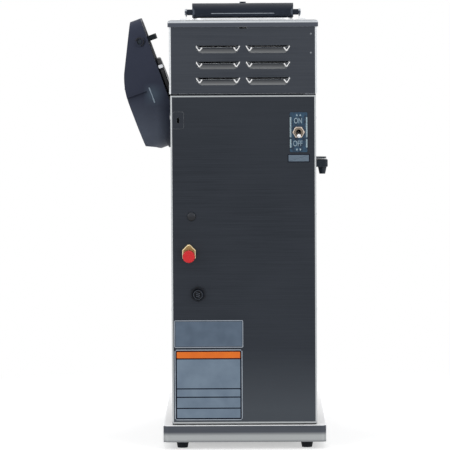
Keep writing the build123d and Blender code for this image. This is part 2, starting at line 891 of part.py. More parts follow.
# Funnel rails: two folded channels hung from the hood floor
rail_bottom_z = floor_plate_z - rail_drop
rail_length = brew_y + funnel_flange_half_depth - hood_front_y - rail_front_margin
rail_width = rail_outer_x - rail_inner_x
funnel_seat_z = rail_bottom_z + rail_sheet
with BuildPart() as funnel_rails:
    for side in (-1, 1):
        with BuildSketch(at_y(hood_front_y + front_return)):
            with Locations((side * (rail_outer_x - rail_sheet / 2), rail_bottom_z)):
                Rectangle(rail_sheet, rail_drop, align=(Align.CENTER, Align.MIN))
            with Locations((side * (rail_outer_x - rail_width / 2), rail_bottom_z)):
                Rectangle(rail_width, rail_sheet, align=(Align.CENTER, Align.MIN))
            with Locations((side * (rail_outer_x - rail_lip / 2), funnel_seat_z + rail_slot_height)):
                Rectangle(rail_lip, rail_sheet, align=(Align.CENTER, Align.MIN))
            with Locations((side * (rail_outer_x - rail_top_flange / 2), floor_plate_z)):
                Rectangle(rail_top_flange, rail_sheet, align=(Align.CENTER, Align.MAX))
        extrude(amount=-rail_length)
save(funnel_rails, "funnel_rails")

# Spray head: a hollow pierced disc whose stem passes up through the hood floor
spray_bottom_z = floor_plate_z - spray_drop
spray_plate_z = spray_bottom_z + spray_plate
spray_stem_top_z = floor_top_z + spray_stem_rise
brew_axis = Axis((0, brew_y, 0), (0, 0, 1))
with BuildPart() as spray_head:
    with BuildSketch(at_y(brew_y)):
        with BuildLine():
            Polyline(
                (0, spray_bottom_z),
                (spray_radius, spray_bottom_z),
                (spray_radius, spray_plate_z),
                (spray_shoulder_radius, floor_plate_z - spray_plate),
                (spray_shoulder_radius, floor_plate_z),
                (spray_stem_radius, floor_plate_z),
                (spray_stem_radius, spray_stem_top_z),
                (0, spray_stem_top_z),
                close=True,
            )
        make_face()
    revolve(axis=brew_axis)
    with BuildSketch(at_z(spray_bottom_z + spray_skin)):
        with Locations((0, brew_y)):
            Circle(spray_plenum_radius)
    extrude(amount=spray_plate - spray_skin, mode=Mode.SUBTRACT)
    with BuildSketch(at_z(spray_plate_z)):
        with Locations((0, brew_y)):
            Circle(spray_bore_radius)
    extrude(amount=spray_stem_top_z - spray_plate_z, mode=Mode.SUBTRACT)
    with BuildSketch(at_z(spray_bottom_z)):
        with Locations((0, brew_y)):
            Circle(spray_hole_radius)
            with PolarLocations(spray_plenum_radius / 2, 6):
                Circle(spray_hole_radius)
            with PolarLocations(spray_plenum_radius - 2 * spray_hole_radius, 12):
                Circle(spray_hole_radius)
    extrude(amount=spray_skin, mode=Mode.SUBTRACT)
save(spray_head, "spray_head")

# Spray head nut: clamps the stem to the hood floor
with BuildPart() as spray_nut:
    with BuildSketch(at_z(floor_top_z)):
        with Locations((0, brew_y)):
            RegularPolygon(spray_nut_width / 2, 6, major_radius=False)
            Circle(spray_stem_radius + running_gap, mode=Mode.SUBTRACT)
    extrude(amount=spray_nut_height)
save(spray_nut, "spray_nut")

# Brew pipe: carries hot water from the tank lid to the spray head
with BuildPart() as brew_pipe:
    with BuildLine():
        FilletPolyline(
            (0, brew_y, spray_stem_top_z),
            (0, brew_y, brew_pipe_z),
            (0, brew_pipe_y, brew_pipe_z),
            (0, brew_pipe_y, tank_lid_top_z),
            radius=brew_pipe_bend,
        )
    with BuildSketch(at_z(spray_stem_top_z)):
        with Locations((0, brew_y)):
            Circle(brew_pipe_radius)
    sweep()
save(brew_pipe, "brew_pipe")

# Drain pipe: carries poured water from the basin spigot to the tank lid
spigot_z = basin_floor_z - basin_spigot_length
with BuildPart() as drain_pipe:
    with BuildLine():
        FilletPolyline(
            (basin_drain_x, basin_drain_y, spigot_z),
            (basin_drain_x, basin_drain_y, drain_pipe_z),
            (basin_drain_x, drain_pipe_y, drain_pipe_z),
            (basin_drain_x, drain_pipe_y, tank_lid_top_z),
            radius=drain_pipe_bend,
        )
    with BuildSketch(at_z(spigot_z)):
        with Locations((basin_drain_x, basin_drain_y)):
            Circle(drain_pipe_radius)
    sweep()
save(drain_pipe, "drain_pipe")

# Brew funnel: a ribbed cone under a square-cornered flange that rides in the rails
funnel_z = funnel_seat_z + seat_gap
funnel_top_z = funnel_z + funnel_flange_thickness
funnel_wall_z = funnel_z - funnel_wall_height
funnel_cone_z = funnel_wall_z - funnel_cone_height
funnel_outlet_z = funnel_cone_z - funnel_outlet_length
funnel_slope = (funnel_top_radius - funnel_low_radius) / funnel_wall_height
rib_top_radius = funnel_low_radius + funnel_slope * funnel_rib_height
with BuildPart() as funnel:
    with BuildSketch(at_z(funnel_z)):
        with Locations((0, brew_y)):
            RectangleRounded(
                2 * funnel_flange_half_width,
                2 * funnel_flange_half_depth,
                funnel_flange_radius,
            )
    extrude(amount=funnel_flange_thickness)
    with BuildSketch(at_y(brew_y)):
        with BuildLine():
            Polyline(
                (0, funnel_outlet_z),
                (funnel_outlet_radius, funnel_outlet_z),
                (funnel_outlet_radius, funnel_cone_z),
                (funnel_low_radius, funnel_wall_z),
                (funnel_top_radius, funnel_z),
                (funnel_top_radius, funnel_top_z),
                (0, funnel_top_z),
                close=True,
            )
        make_face()
    revolve(axis=brew_axis)
    with BuildSketch(at_y(brew_y)):
        with BuildLine():
            Polyline(
                (0, funnel_outlet_z),
                (funnel_outlet_bore, funnel_outlet_z),
                (funnel_outlet_bore, funnel_cone_z + funnel_wall),
                (funnel_low_radius - funnel_wall, funnel_wall_z + funnel_wall),
                (funnel_top_radius - funnel_wall, funnel_z),
                (funnel_top_radius - funnel_wall, funnel_top_z),
                (0, funnel_top_z),
                close=True,
            )
        make_face()
    revolve(axis=brew_axis, mode=Mode.SUBTRACT)
    for index in range(funnel_rib_count):
        turn = 2 * math.pi * index / funnel_rib_count
        rib_plane = Plane(
            origin=(0, brew_y, funnel_wall_z),
            x_dir=(math.cos(turn), math.sin(turn), 0),
            z_dir=(math.sin(turn), -math.cos(turn), 0),
        )
        with BuildSketch(rib_plane):
            with BuildLine():
                Polyline(
                    (funnel_low_radius - funnel_wall / 2, 0),
                    (rib_top_radius - funnel_wall / 2, funnel_rib_height),
                    (rib_top_radius - funnel_wall - funnel_rib_depth, funnel_rib_height),
                    (funnel_low_radius - funnel_wall - funnel_rib_depth, 0),
                    close=True,
                )
            make_face()
        extrude(amount=funnel_wall / 2, both=True)
save(funnel, "funnel")

# Funnel handle: a drooping grip fixed to the front edge of the funnel flange
handle_root_y = brew_y - funnel_flange_half_depth
with BuildPart() as funnel_handle:
    with BuildSketch(at_x(-handle_width / 2)):
        with BuildLine():
            Polyline(
                (handle_root_y, funnel_top_z - handle_drop),
                (hood_front_y - handle_thickness, funnel_top_z - handle_drop),
                (handle_reach_y, funnel_top_z - handle_thickness),
                (handle_reach_y, funnel_top_z - handle_thickness - handle_rise),
                (handle_reach_y + handle_thickness, funnel_top_z - handle_thickness - handle_rise),
                (handle_reach_y + handle_thickness, funnel_top_z - handle_elbow_drop),
                (handle_root_y, funnel_top_z - handle_thickness),
                close=True,
            )
        make_face()
    extrude(amount=handle_width)
    fillet(
        funnel_handle.edges().filter_by(Axis.X).group_by(Axis.Y)[0],
        handle_edge_radius,
    )
    fillet(
        funnel_handle.faces().filter_by(Axis.X).edges().group_by(Axis.Y)[0],
        handle_drop,
    )
save(funnel_handle, "funnel_handle")


def switch_frame(x):
    """Snap-in frame and body of one front switch, with a window for its rocker."""
    with BuildPart() as frame:
        with BuildSketch(at_y(hood_front_y)):
            with Locations((x, switch_z)):
                RectangleRounded(switch_frame_width, switch_frame_height, 2 * sheet)
        extrude(amount=switch_frame_thickness)
        fillet(frame.faces().sort_by(Axis.Y)[0].edges(), switch_frame_thickness / 3)
        with BuildSketch(at_y(hood_front_y)):
            with Locations((x, switch_z)):
                Rectangle(switch_body_width, switch_body_height)
        extrude(amount=-switch_body_depth)
        with BuildSketch(at_y(hood_front_y - switch_frame_thickness)):
            with Locations((x, switch_z)):
                Rectangle(switch_window_width, switch_window_height)
        extrude(amount=-switch_window_depth, mode=Mode.SUBTRACT)
        with BuildSketch(at_x(x)):
            with Locations((rocker_axis_y, switch_z)):
                Circle(rocker_pin_radius + running_gap)
        extrude(amount=rocker_pin_x + running_gap, both=True, mode=Mode.SUBTRACT)
    return frame


def rocker(x):
    """A rocker with a hollowed face, resting with its upper half standing out."""
    tilt = math.radians(rocker_tilt)
    half_height = switch_window_height / 2 - 2 * seat_gap
    half_width = switch_window_width / 2 - seat_gap
    rocker_plane = Plane(
        origin=(x - half_width, rocker_axis_y, switch_z),
        x_dir=(0, math.cos(tilt), math.sin(tilt)),
        z_dir=(1, 0, 0),
    )
    with BuildPart() as paddle:
        with BuildSketch(rocker_plane):
            with BuildLine():
                Polyline(
                    (rocker_thickness / 3, -half_height + sheet),
                    (rocker_thickness / 3, half_height - sheet),
                    (0, half_height),
                    (-rocker_thickness + sheet, half_height),
                    (-rocker_thickness / 2, 0),
                    (-rocker_thickness + sheet, -half_height),
                    (0, -half_height),
                    close=True,
                )
            make_face()
        extrude(amount=2 * half_width)
        with BuildSketch(at_x(x)):
            with Locations((rocker_axis_y, switch_z)):
                Circle(rocker_pin_radius)
        extrude(amount=rocker_pin_x, both=True)
    return paddle


# Front controls: a brew switch, a power switch and a ready lamp between them
rocker_axis_y = hood_front_y + rocker_axis_depth
rocker_pin_x = switch_window_width / 2 + rocker_pin_length
brew_switch_frame = switch_frame(switch_x)
save(brew_switch_frame, "brew_switch_frame")
brew_rocker = rocker(switch_x)
save(brew_rocker, "brew_rocker")
power_switch_frame = switch_frame(-switch_x)
save(power_switch_frame, "power_switch_frame")
power_rocker = rocker(-switch_x)
save(power_rocker, "power_rocker")

with BuildPart() as ready_lamp:
    with BuildSketch(at_y(hood_front_y)):
        with Locations((0, switch_z)):
            Circle(lamp_radius)
    extrude(amount=switch_frame_thickness)
    fillet(ready_lamp.faces().sort_by(Axis.Y)[0].edges(), sheet)
    with BuildSketch(at_y(hood_front_y)):
        with Locations((0, switch_z)):
            Circle(lamp_body_radius)
    extrude(amount=-lamp_body_length)
save(ready_lamp, "ready_lamp")

# Tank heater switch on the rear panel: plate, body behind, nut and bat lever
toggle_nut_y = trunk_rear_y + toggle_plate_thickness
toggle_mouth_y = toggle_nut_y + toggle_nut_height + sheet
toggle_pivot_y = trunk_rear_y - toggle_pivot_depth
with BuildPart() as toggle_plate:
    with BuildSketch(at_y(trunk_rear_y)):
        with Locations((toggle_x, toggle_z)):
            RectangleRounded(toggle_plate_width, toggle_plate_height, 2 * thin_sheet)
            Circle(toggle_bush_radius + seat_gap, mode=Mode.SUBTRACT)
    extrude(amount=-toggle_plate_thickness)
save(toggle_plate, "toggle_plate")

toggle_axis = Axis((toggle_x, 0, toggle_z), (0, 1, 0))
with BuildPart() as toggle_body:
    with BuildSketch(at_y(panel_inner_y)):
        with Locations((toggle_x, toggle_z)):
            Rectangle(toggle_body_width, toggle_body_height)
    extrude(amount=toggle_body_depth)
    with BuildSketch(at_y(panel_inner_y)):
        with Locations((toggle_x, toggle_z)):
            Circle(toggle_bush_radius)
    extrude(amount=panel_inner_y - toggle_mouth_y)
    with BuildSketch(at_z(toggle_z)):
        with BuildLine():
            Polyline(
                (toggle_x, toggle_pivot_y - toggle_ball_radius),
                (toggle_x + toggle_ball_radius + running_gap, toggle_pivot_y - toggle_ball_radius),
                (toggle_x + toggle_ball_radius + running_gap, toggle_pivot_y),
                (toggle_x + toggle_bush_bore, toggle_mouth_y),
                (toggle_x, toggle_mouth_y),
                close=True,
            )
        make_face()
    revolve(axis=toggle_axis, mode=Mode.SUBTRACT)
    with BuildSketch(at_x(toggle_x)):
        with Locations((toggle_pivot_y, toggle_z)):
            Circle(toggle_pin_radius + running_gap)
    extrude(amount=toggle_pin_half_length + running_gap, both=True, mode=Mode.SUBTRACT)
save(toggle_body, "toggle_body")

with BuildPart() as toggle_nut:
    with BuildSketch(at_y(toggle_nut_y)):
        with Locations((toggle_x, toggle_z)):
            RegularPolygon(toggle_nut_radius, 6)
            Circle(toggle_bush_radius + running_gap, mode=Mode.SUBTRACT)
    extrude(amount=-toggle_nut_height)
save(toggle_nut, "toggle_nut")

toggle_angle = math.radians(toggle_throw)
lever_plane = Plane(
    origin=(toggle_x, toggle_pivot_y, toggle_z),
    x_dir=(1, 0, 0),
    z_dir=(0, math.cos(toggle_angle), -math.sin(toggle_angle)),
)
with BuildPart(lever_plane) as toggle_lever:
    Sphere(toggle_ball_radius)
    Cylinder(toggle_pin_radius, 2 * toggle_pin_half_length, rotation=(0, 90, 0))
    Cone(toggle_neck_radius, toggle_tip_radius, toggle_lever_length, align=standing)
    with Locations((0, 0, toggle_lever_length)):
        Sphere(toggle_tip_radius)
save(toggle_lever, "toggle_lever")

# Hole plug: a domed black plug pressed into a spare hole
with BuildPart() as hole_plug:
    with BuildSketch(at_y(trunk_rear_y)):
        with Locations((plug_x, plug_z)):
            Circle(plug_radius)
    extrude(amount=-plug_thickness)
    fillet(hole_plug.faces().sort_by(Axis.Y)[-1].edges(), plug_edge_radius)
    with BuildSketch(at_y(trunk_rear_y)):
        with Locations((plug_x, plug_z)):
            Circle(plug_stem_radius)
    extrude(amount=2 * plug_thickness)
save(hole_plug, "hole_plug")

# Water inlet: a brass elbow block with a flared barrel and a shank through the panel
inlet_face_y = trunk_rear_y + inlet_block_depth
inlet_end_y = inlet_face_y + inlet_barrel_length
with BuildPart() as inlet_fitting:
    with BuildSketch(at_y(trunk_rear_y)):
        with Locations((inlet_x, inlet_z + inlet_block_rise)):
            Rectangle(inlet_block_width, inlet_block_height)
    extrude(amount=-inlet_block_depth)
    chamfer(
        inlet_fitting.edges().filter_by(Axis.Y).sort_by(Axis.Z)[:2], inlet_block_width / 3
    )
    chamfer(
        inlet_fitting.edges().filter_by(Axis.Y).sort_by(Axis.Z)[-2:],
        inlet_block_width * inlet_shoulder_share,
    )
    chamfer(inlet_fitting.faces().sort_by(Axis.Y)[-1].edges(), thin_sheet)
    with BuildSketch(at_y(inlet_face_y)):
        with Locations((inlet_x, inlet_z)):
            Circle(inlet_barrel_radius)
    extrude(amount=-inlet_barrel_length)
    with BuildSketch(at_y(trunk_rear_y)):
        with Locations((inlet_x, inlet_z)):
            Circle(inlet_shank_radius)
    extrude(amount=inlet_shank_length)
    with BuildSketch(at_y(inlet_end_y)):
        with Locations((inlet_x, inlet_z)):
            Circle(inlet_bore_radius)
    extrude(
        amount=inlet_barrel_length + inlet_block_depth + inlet_shank_length,
        mode=Mode.SUBTRACT,
    )
save(inlet_fitting, "inlet_fitting")

# Inlet cap: a fluted red dust cap pushed over the barrel
with BuildPart() as inlet_cap:
    with BuildSketch(at_y(inlet_face_y + inlet_cap_start)):
        with Locations((inlet_x, inlet_z)):
            Circle(inlet_cap_radius)
    extrude(amount=-inlet_cap_length)
    chamfer(inlet_cap.faces().sort_by(Axis.Y)[-1].edges(), thin_sheet)
    with BuildSketch(at_y(inlet_face_y + inlet_cap_start)):
        with Locations((inlet_x, inlet_z)):
            with PolarLocations(inlet_cap_radius + inlet_cap_flute_radius / 2, inlet_cap_flutes):
                Circle(inlet_cap_flute_radius)
    extrude(amount=-inlet_cap_length, mode=Mode.SUBTRACT)
    with BuildSketch(at_y(inlet_face_y)):
        with Locations((inlet_x, inlet_z)):
            Circle(inlet_barrel_radius + running_gap)
    extrude(amount=-inlet_barrel_length - seat_gap, mode=Mode.SUBTRACT)
save(inlet_cap, "inlet_cap")

# Cord gland: hex body and dome outside, threaded shank and locknut inside
with BuildPart() as cord_gland:
    with BuildSketch(at_y(trunk_rear_y)):
        with Locations((gland_x, gland_z)):
            RegularPolygon(gland_hex_width / 2, 6, rotation=30, major_radius=False)
    extrude(amount=-gland_hex_depth)
    chamfer(cord_gland.faces().sort_by(Axis.Y)[-1].edges(), thin_sheet / 2)
    with BuildSketch(at_y(trunk_rear_y + gland_hex_depth)):
        with Locations((gland_x, gland_z)):
            Circle(gland_dome_radius)
    extrude(amount=-gland_dome_depth, taper=gland_dome_taper)
    with BuildSketch(at_y(trunk_rear_y)):
        with Locations((gland_x, gland_z)):
            Circle(gland_shank_radius)
    extrude(amount=gland_shank_length)
    with BuildSketch(at_y(trunk_rear_y + gland_hex_depth + gland_dome_depth)):
        with Locations((gland_x, gland_z)):
            Circle(gland_bore_radius)
    extrude(
        amount=gland_hex_depth + gland_dome_depth + gland_shank_length,
        mode=Mode.SUBTRACT,
    )
save(cord_gland, "cord_gland")

with BuildPart() as gland_nut:
    with BuildSketch(at_y(panel_inner_y)):
        with Locations((gland_x, gland_z)):
            RegularPolygon(gland_nut_width / 2, 6, major_radius=False)
            Circle(gland_shank_radius + running_gap, mode=Mode.SUBTRACT)
    extrude(amount=gland_nut_depth)
save(gland_nut, "gland_nut")

# Hot water tank: an open steel can with a rolled rim, on a three-legged stand
with BuildPart() as tank:
    with BuildSketch(at_z(tank_bottom_z)):
        with Locations((0, tank_y)):
            Circle(tank_radius)
    extrude(amount=tank_height)
    with BuildSketch(at_z(tank_top_z - tank_rim_thickness)):
        with Locations((0, tank_y)):
            Circle(tank_rim_radius)
    extrude(amount=tank_rim_thickness)
    with BuildSketch(at_z(tank_bottom_z + tank_wall)):
        with Locations((0, tank_y)):
            Circle(tank_radius - tank_wall)
    extrude(amount=tank_height, mode=Mode.SUBTRACT)
save(tank, "tank")

with BuildPart() as tank_gasket:
    with BuildSketch(at_z(gasket_z)):
        with Locations((0, tank_y)):
            Circle(tank_rim_radius)
            Circle(tank_radius - tank_wall, mode=Mode.SUBTRACT)
    extrude(amount=gasket_thickness)
save(tank_gasket, "tank_gasket")

with BuildPart() as tank_lid:
    with BuildSketch(at_z(tank_lid_z)):
        with Locations((0, tank_y)):
            Circle(tank_rim_radius)
        with Locations((-element_half_width, element_y), (element_half_width, element_y)):
            Circle(element_radius + running_gap, mode=Mode.SUBTRACT)
        with Locations((0, brew_pipe_y), (basin_drain_x, drain_pipe_y)):
            Circle(brew_pipe_radius - tank_wall, mode=Mode.SUBTRACT)
    extrude(amount=tank_lid_thickness)
save(tank_lid, "tank_lid")

with BuildPart() as tank_stand:
    with BuildSketch(at_z(tank_bottom_z - sheet)):
        with Locations((0, tank_y)):
            Circle(stand_leg_radius + stand_leg_width / 2)
            Circle(stand_leg_radius - stand_leg_width / 2, mode=Mode.SUBTRACT)
    extrude(amount=sheet)
    with BuildSketch(at_z(base_top_z)):
        with Locations((0, tank_y)):
            with PolarLocations(stand_leg_radius, stand_leg_count, start_angle=90):
                Rectangle(2 * sheet, stand_leg_width)
    extrude(amount=tank_bottom_z - base_top_z)
    with BuildSketch(at_z(base_top_z)):
        with Locations((0, tank_y)):
            with PolarLocations(stand_leg_radius, stand_leg_count, start_angle=90):
                Rectangle(stand_leg_width, stand_leg_width)
    extrude(amount=sheet)
save(tank_stand, "tank_stand")

# Heating element: a bent sheathed rod whose ends stand up through the tank lid
element_top_z = tank_lid_top_z + element_terminal
element_low_z = tank_lid_z - element_depth
with BuildPart() as heating_element:
    with BuildLine():
        FilletPolyline(
            (-element_half_width, element_y, element_top_z),
            (-element_half_width, element_y, element_low_z),
            (element_half_width, element_y, element_low_z),
            (element_half_width, element_y, element_top_z),
            radius=element_bend_radius,
        )
    with BuildSketch(at_z(element_top_z)):
        with Locations((-element_half_width, element_y)):
            Circle(element_radius)
    sweep()
save(heating_element, "heating_element")

# Limit thermostat: a round snap-disc switch on the tank lid
with BuildPart() as limit_thermostat:
    with BuildSketch(at_z(tank_lid_top_z)):
        with Locations((thermostat_x, thermostat_y)):
            Circle(thermostat_radius)
    extrude(amount=thermostat_height / 2)
    with BuildSketch(at_z(tank_lid_top_z + thermostat_height / 2)):
        with Locations((thermostat_x, thermostat_y)):
            Circle(thermostat_cap_radius)
    extrude(amount=thermostat_height / 2)
    with BuildSketch(at_z(tank_lid_top_z + thermostat_height)):
        with Locations((thermostat_x, thermostat_y)):
            with GridLocations(thermostat_tab_spacing, 0, 2, 1):
                Rectangle(thin_sheet, thermostat_tab_width)
    extrude(amount=thermostat_height)
save(limit_thermostat, "limit_thermostat")

# Fill valve behind the inlet, its coil, and the pipe down to the tank wall
valve_rear_y = trunk_rear_y - inlet_shank_length
valve_middle_y = valve_rear_y - valve_width / 2
valve_bottom_z = inlet_z - valve_height / 2
with BuildPart() as fill_valve:
    with BuildSketch(at_z(valve_bottom_z)):
        with Locations((inlet_x, valve_middle_y)):
            RectangleRounded(valve_width, valve_width, 2 * thin_sheet)
    extrude(amount=valve_height)
save(fill_valve, "fill_valve")

with BuildPart() as valve_coil:
    with BuildSketch(at_z(valve_bottom_z + valve_height)):
        with Locations((inlet_x, valve_middle_y)):
            Circle(valve_coil_radius)
    extrude(amount=valve_coil_height)
    fillet(valve_coil.edges().sort_by(Axis.Z)[-1], 2 * thin_sheet)
save(valve_coil, "valve_coil")

fill_pipe_z = tank_bottom_z + 2 * valve_height
pipe_run = math.hypot(inlet_x, valve_middle_y - tank_y)
pipe_end = tank_radius / pipe_run
with BuildPart() as fill_pipe:
    with BuildLine():
        FilletPolyline(
            (inlet_x, valve_middle_y, valve_bottom_z),
            (inlet_x, valve_middle_y, fill_pipe_z),
            (inlet_x * pipe_end, tank_y + (valve_middle_y - tank_y) * pipe_end, fill_pipe_z),
            radius=valve_coil_radius,
        )
    with BuildSketch(at_z(valve_bottom_z)):
        with Locations((inlet_x, valve_middle_y)):
            Circle(fill_pipe_radius)
    sweep()
save(fill_pipe, "fill_pipe")

# Control board on standoffs along one trunk wall, and the mains terminal block
board_x = -trunk_width / 2 + sheet + board_standoff
with BuildPart() as control_board:
    with BuildSketch(at_x(board_x)):
        with Locations((tank_y, board_z)):
            Rectangle(board_width, board_height, align=(Align.CENTER, Align.MIN))
    extrude(amount=board_thickness)
    with BuildSketch(at_x(board_x)):
        with Locations((tank_y, board_z + board_height / 2)):
            with GridLocations(
                board_width - 2 * board_hole_inset, board_height - 2 * board_hole_inset, 2, 2
            ):
                Circle(standoff_radius)
    extrude(amount=-board_standoff)
    with BuildSketch(at_x(board_x + board_thickness)):
        with Locations((tank_y, board_z + board_hole_inset)):
            with GridLocations(relay_spacing, 0, 2, 1):
                Rectangle(relay_width, relay_height, align=(Align.CENTER, Align.MIN))
    extrude(amount=relay_depth)
save(control_board, "control_board")

with BuildPart() as terminal_block:
    with BuildSketch(at_z(base_top_z)):
        with Locations((gland_x - block_width / 4, valve_rear_y - block_depth / 2)):
            Rectangle(block_width, block_depth)
    extrude(amount=block_height)
    with BuildSketch(at_z(base_top_z + block_height)):
        with Locations((gland_x - block_width / 4, valve_rear_y - block_depth / 2)):
            with GridLocations(block_slot_spacing, 0, 4, 1):
                Rectangle(block_slot_width, block_depth)
    extrude(amount=-block_slot_depth, mode=Mode.SUBTRACT)
save(terminal_block, "terminal_block")

# Airpot base ring: a black tray that the steel body stands in
with BuildPart() as airpot_ring:
    with BuildSketch(at_z(pot_ring_z)):
        with Locations((0, brew_y)):
            Circle(pot_ring_radius)
    extrude(amount=pot_ring_height)
    fillet(airpot_ring.faces().sort_by(Axis.Z)[-1].edges(), thin_sheet)
    with BuildSketch(at_z(pot_body_z)):
        with Locations((0, brew_y)):
            Circle(pot_radius + seat_gap)
    extrude(amount=pot_ring_height, mode=Mode.SUBTRACT)
save(airpot_ring, "airpot_ring")

# Airpot body: a drawn steel cylinder
with BuildPart() as airpot_body:
    with BuildSketch(at_z(pot_body_z)):
        with Locations((0, brew_y)):
            Circle(pot_radius)
    extrude(amount=pot_body_top_z - pot_body_z)
    with BuildSketch(at_z(pot_body_z + pot_wall)):
        with Locations((0, brew_y)):
            Circle(pot_radius - pot_wall)
    extrude(amount=pot_body_top_z - pot_body_z, mode=Mode.SUBTRACT)
save(airpot_body, "airpot_body")

# Airpot liner: a vacuum bottle with a narrow neck
neck_start_z = liner_shoulder_z + liner_shoulder_rise
foot_rise = liner_radius - liner_foot_radius
with BuildPart() as airpot_liner:
    with BuildSketch(at_y(brew_y)):
        with BuildLine():
            Polyline(
                (0, liner_bottom_z),
                (liner_foot_radius, liner_bottom_z),
                (liner_radius, liner_bottom_z + foot_rise),
                (liner_radius, liner_shoulder_z),
                (liner_neck_radius, neck_start_z),
                (liner_neck_radius, liner_top_z),
                (liner_neck_radius - liner_wall, liner_top_z),
                (liner_neck_radius - liner_wall, neck_start_z - liner_wall / 2),
                (liner_radius - liner_wall, liner_shoulder_z - liner_wall / 2),
                (liner_radius - liner_wall, liner_bottom_z + foot_rise),
                (liner_foot_radius - liner_wall / 2, liner_bottom_z + liner_wall),
                (0, liner_bottom_z + liner_wall),
                close=True,
            )
        make_face()
    revolve(axis=brew_axis)
save(airpot_liner, "airpot_liner")

# Liner cushion: a rubber ring that holds the liner up off the floor of the body
cushion_z = pot_body_z + pot_wall
with BuildPart() as liner_cushion:
    with BuildSketch(at_z(cushion_z)):
        with Locations((0, brew_y)):
            Circle(liner_foot_radius)
            Circle(liner_neck_radius, mode=Mode.SUBTRACT)
    extrude(amount=liner_bottom_z - cushion_z)
save(liner_cushion, "airpot_liner_cushion")

# Airpot collar: black shoulder ring with the mouth, a beak at -X and hinge lugs at +X
collar_lip_z = liner_top_z + collar_wall
mouth_lip_radius = liner_neck_radius - collar_wall
latch_x = lid_hinge_x - latch_distance
with BuildPart() as airpot_collar:
    with BuildSketch(at_y(brew_y)):
        with BuildLine():
            Polyline(
                (pot_radius + seat_gap, pot_body_top_z - collar_skirt),
                (collar_radius, pot_body_top_z - collar_skirt),
                (collar_radius, collar_top_z - collar_skirt),
                (collar_radius - collar_skirt / 2, collar_top_z - collar_skirt / 4),
                (collar_radius - collar_skirt, collar_top_z),
                (collar_mouth_radius, collar_top_z),
                (collar_mouth_radius, collar_lip_z),
                (mouth_lip_radius, collar_lip_z),
                (mouth_lip_radius, liner_top_z),
                (liner_neck_radius + collar_wall, liner_top_z),
                (pot_radius - collar_wall, pot_body_top_z),
                (pot_radius + seat_gap, pot_body_top_z),
                close=True,
            )
        make_face()
    revolve(axis=brew_axis)
    with BuildSketch(at_z(collar_top_z - latch_peg_drop - collar_wall)):
        with Locations((latch_x, brew_y)):
            RectangleRounded(
                2 * latch_boss_radius,
                2 * (latch_peg_y + latch_peg_width),
                2 * sheet,
            )
    extrude(amount=latch_peg_drop + collar_wall)
    with BuildSketch(at_z(collar_top_z)):
        for side in (-1, 1):
            with Locations((latch_x, brew_y + side * latch_peg_y)):
                Rectangle(latch_peg_length + sheet, latch_peg_width + sheet)
    extrude(amount=-latch_peg_drop - sheet, mode=Mode.SUBTRACT)
    beak_z = collar_top_z - spout_top_drop + beak_gap
    with BuildSketch(at_z(beak_z)):
        with Locations((-collar_radius + collar_wall, brew_y)):
            Rectangle(
                beak_reach - collar_radius + collar_wall - beak_half_width,
                2 * beak_half_width,
                align=(Align.MAX, Align.CENTER),
            )
        with Locations((beak_half_width - beak_reach, brew_y)):
            Circle(beak_half_width)
    extrude(amount=beak_thickness)
    for side in (-1, 1):
        lug_start = brew_y + side * (hinge_middle_half_length + seat_gap)
        lug_length = hinge_half_length - hinge_middle_half_length - seat_gap
        with BuildSketch(at_y(lug_start)):
            with Locations((lid_hinge_x, lid_hinge_z)):
                Circle(hinge_knuckle_radius)
            with Locations((lid_hinge_x, lid_hinge_z)):
                Rectangle(
                    2 * hinge_knuckle_radius,
                    3 * hinge_knuckle_radius,
                    align=(Align.CENTER, Align.MAX),
                )
        extrude(amount=-side * lug_length)
    with BuildSketch(at_y(brew_y)):
        with Locations((lid_hinge_x, lid_hinge_z)):
            Circle(hinge_knuckle_radius + 2 * seat_gap)
    extrude(amount=hinge_middle_half_length + seat_gap, both=True, mode=Mode.SUBTRACT)
    with BuildSketch(at_y(brew_y + hinge_half_length)):
        with Locations((lid_hinge_x, lid_hinge_z)):
            Circle(hinge_pin_radius)
    extrude(amount=2 * hinge_half_length, mode=Mode.SUBTRACT)
save(airpot_collar, "airpot_collar")

# Airpot spout: an arm from the collar with a tapered nozzle pointing down
spout_top_z = collar_top_z - spout_top_drop
spout_bottom_z = spout_top_z - spout_height
spout_tip_z = collar_top_z - spout_tip_drop
with BuildPart() as airpot_spout:
    with BuildSketch(at_z(spout_bottom_z)):
        with Locations((-spout_reach, brew_y)):
            RectangleRounded(
                spout_reach - collar_radius + 2 * collar_wall,
                2 * spout_half_width,
                collar_wall,
                align=(Align.MIN, Align.CENTER),
            )
        with Locations((0, brew_y)):
            Circle(collar_radius, mode=Mode.SUBTRACT)
    extrude(amount=spout_height)
    fillet(airpot_spout.faces().sort_by(Axis.X)[0].edges(), sheet)
    with Locations((spout_tip_x, brew_y, spout_tip_z)):
        Cone(
            nozzle_tip_radius,
            nozzle_root_radius,
            spout_bottom_z - spout_tip_z,
            align=standing,
        )
    with BuildSketch(at_z(spout_tip_z)):
        with Locations((spout_tip_x, brew_y)):
            Circle(spout_bore)
    extrude(amount=spout_bottom_z - spout_tip_z, mode=Mode.SUBTRACT)
save(airpot_spout, "airpot_spout")

# Hinge pin of the airpot lid, fixed in the collar's lugs
with BuildPart() as airpot_hinge_pin:
    with BuildSketch(at_y(brew_y + hinge_half_length)):
        with Locations((lid_hinge_x, lid_hinge_z)):
            Circle(hinge_pin_radius)
    extrude(amount=2 * hinge_half_length)
save(airpot_hinge_pin, "airpot_hinge_pin")

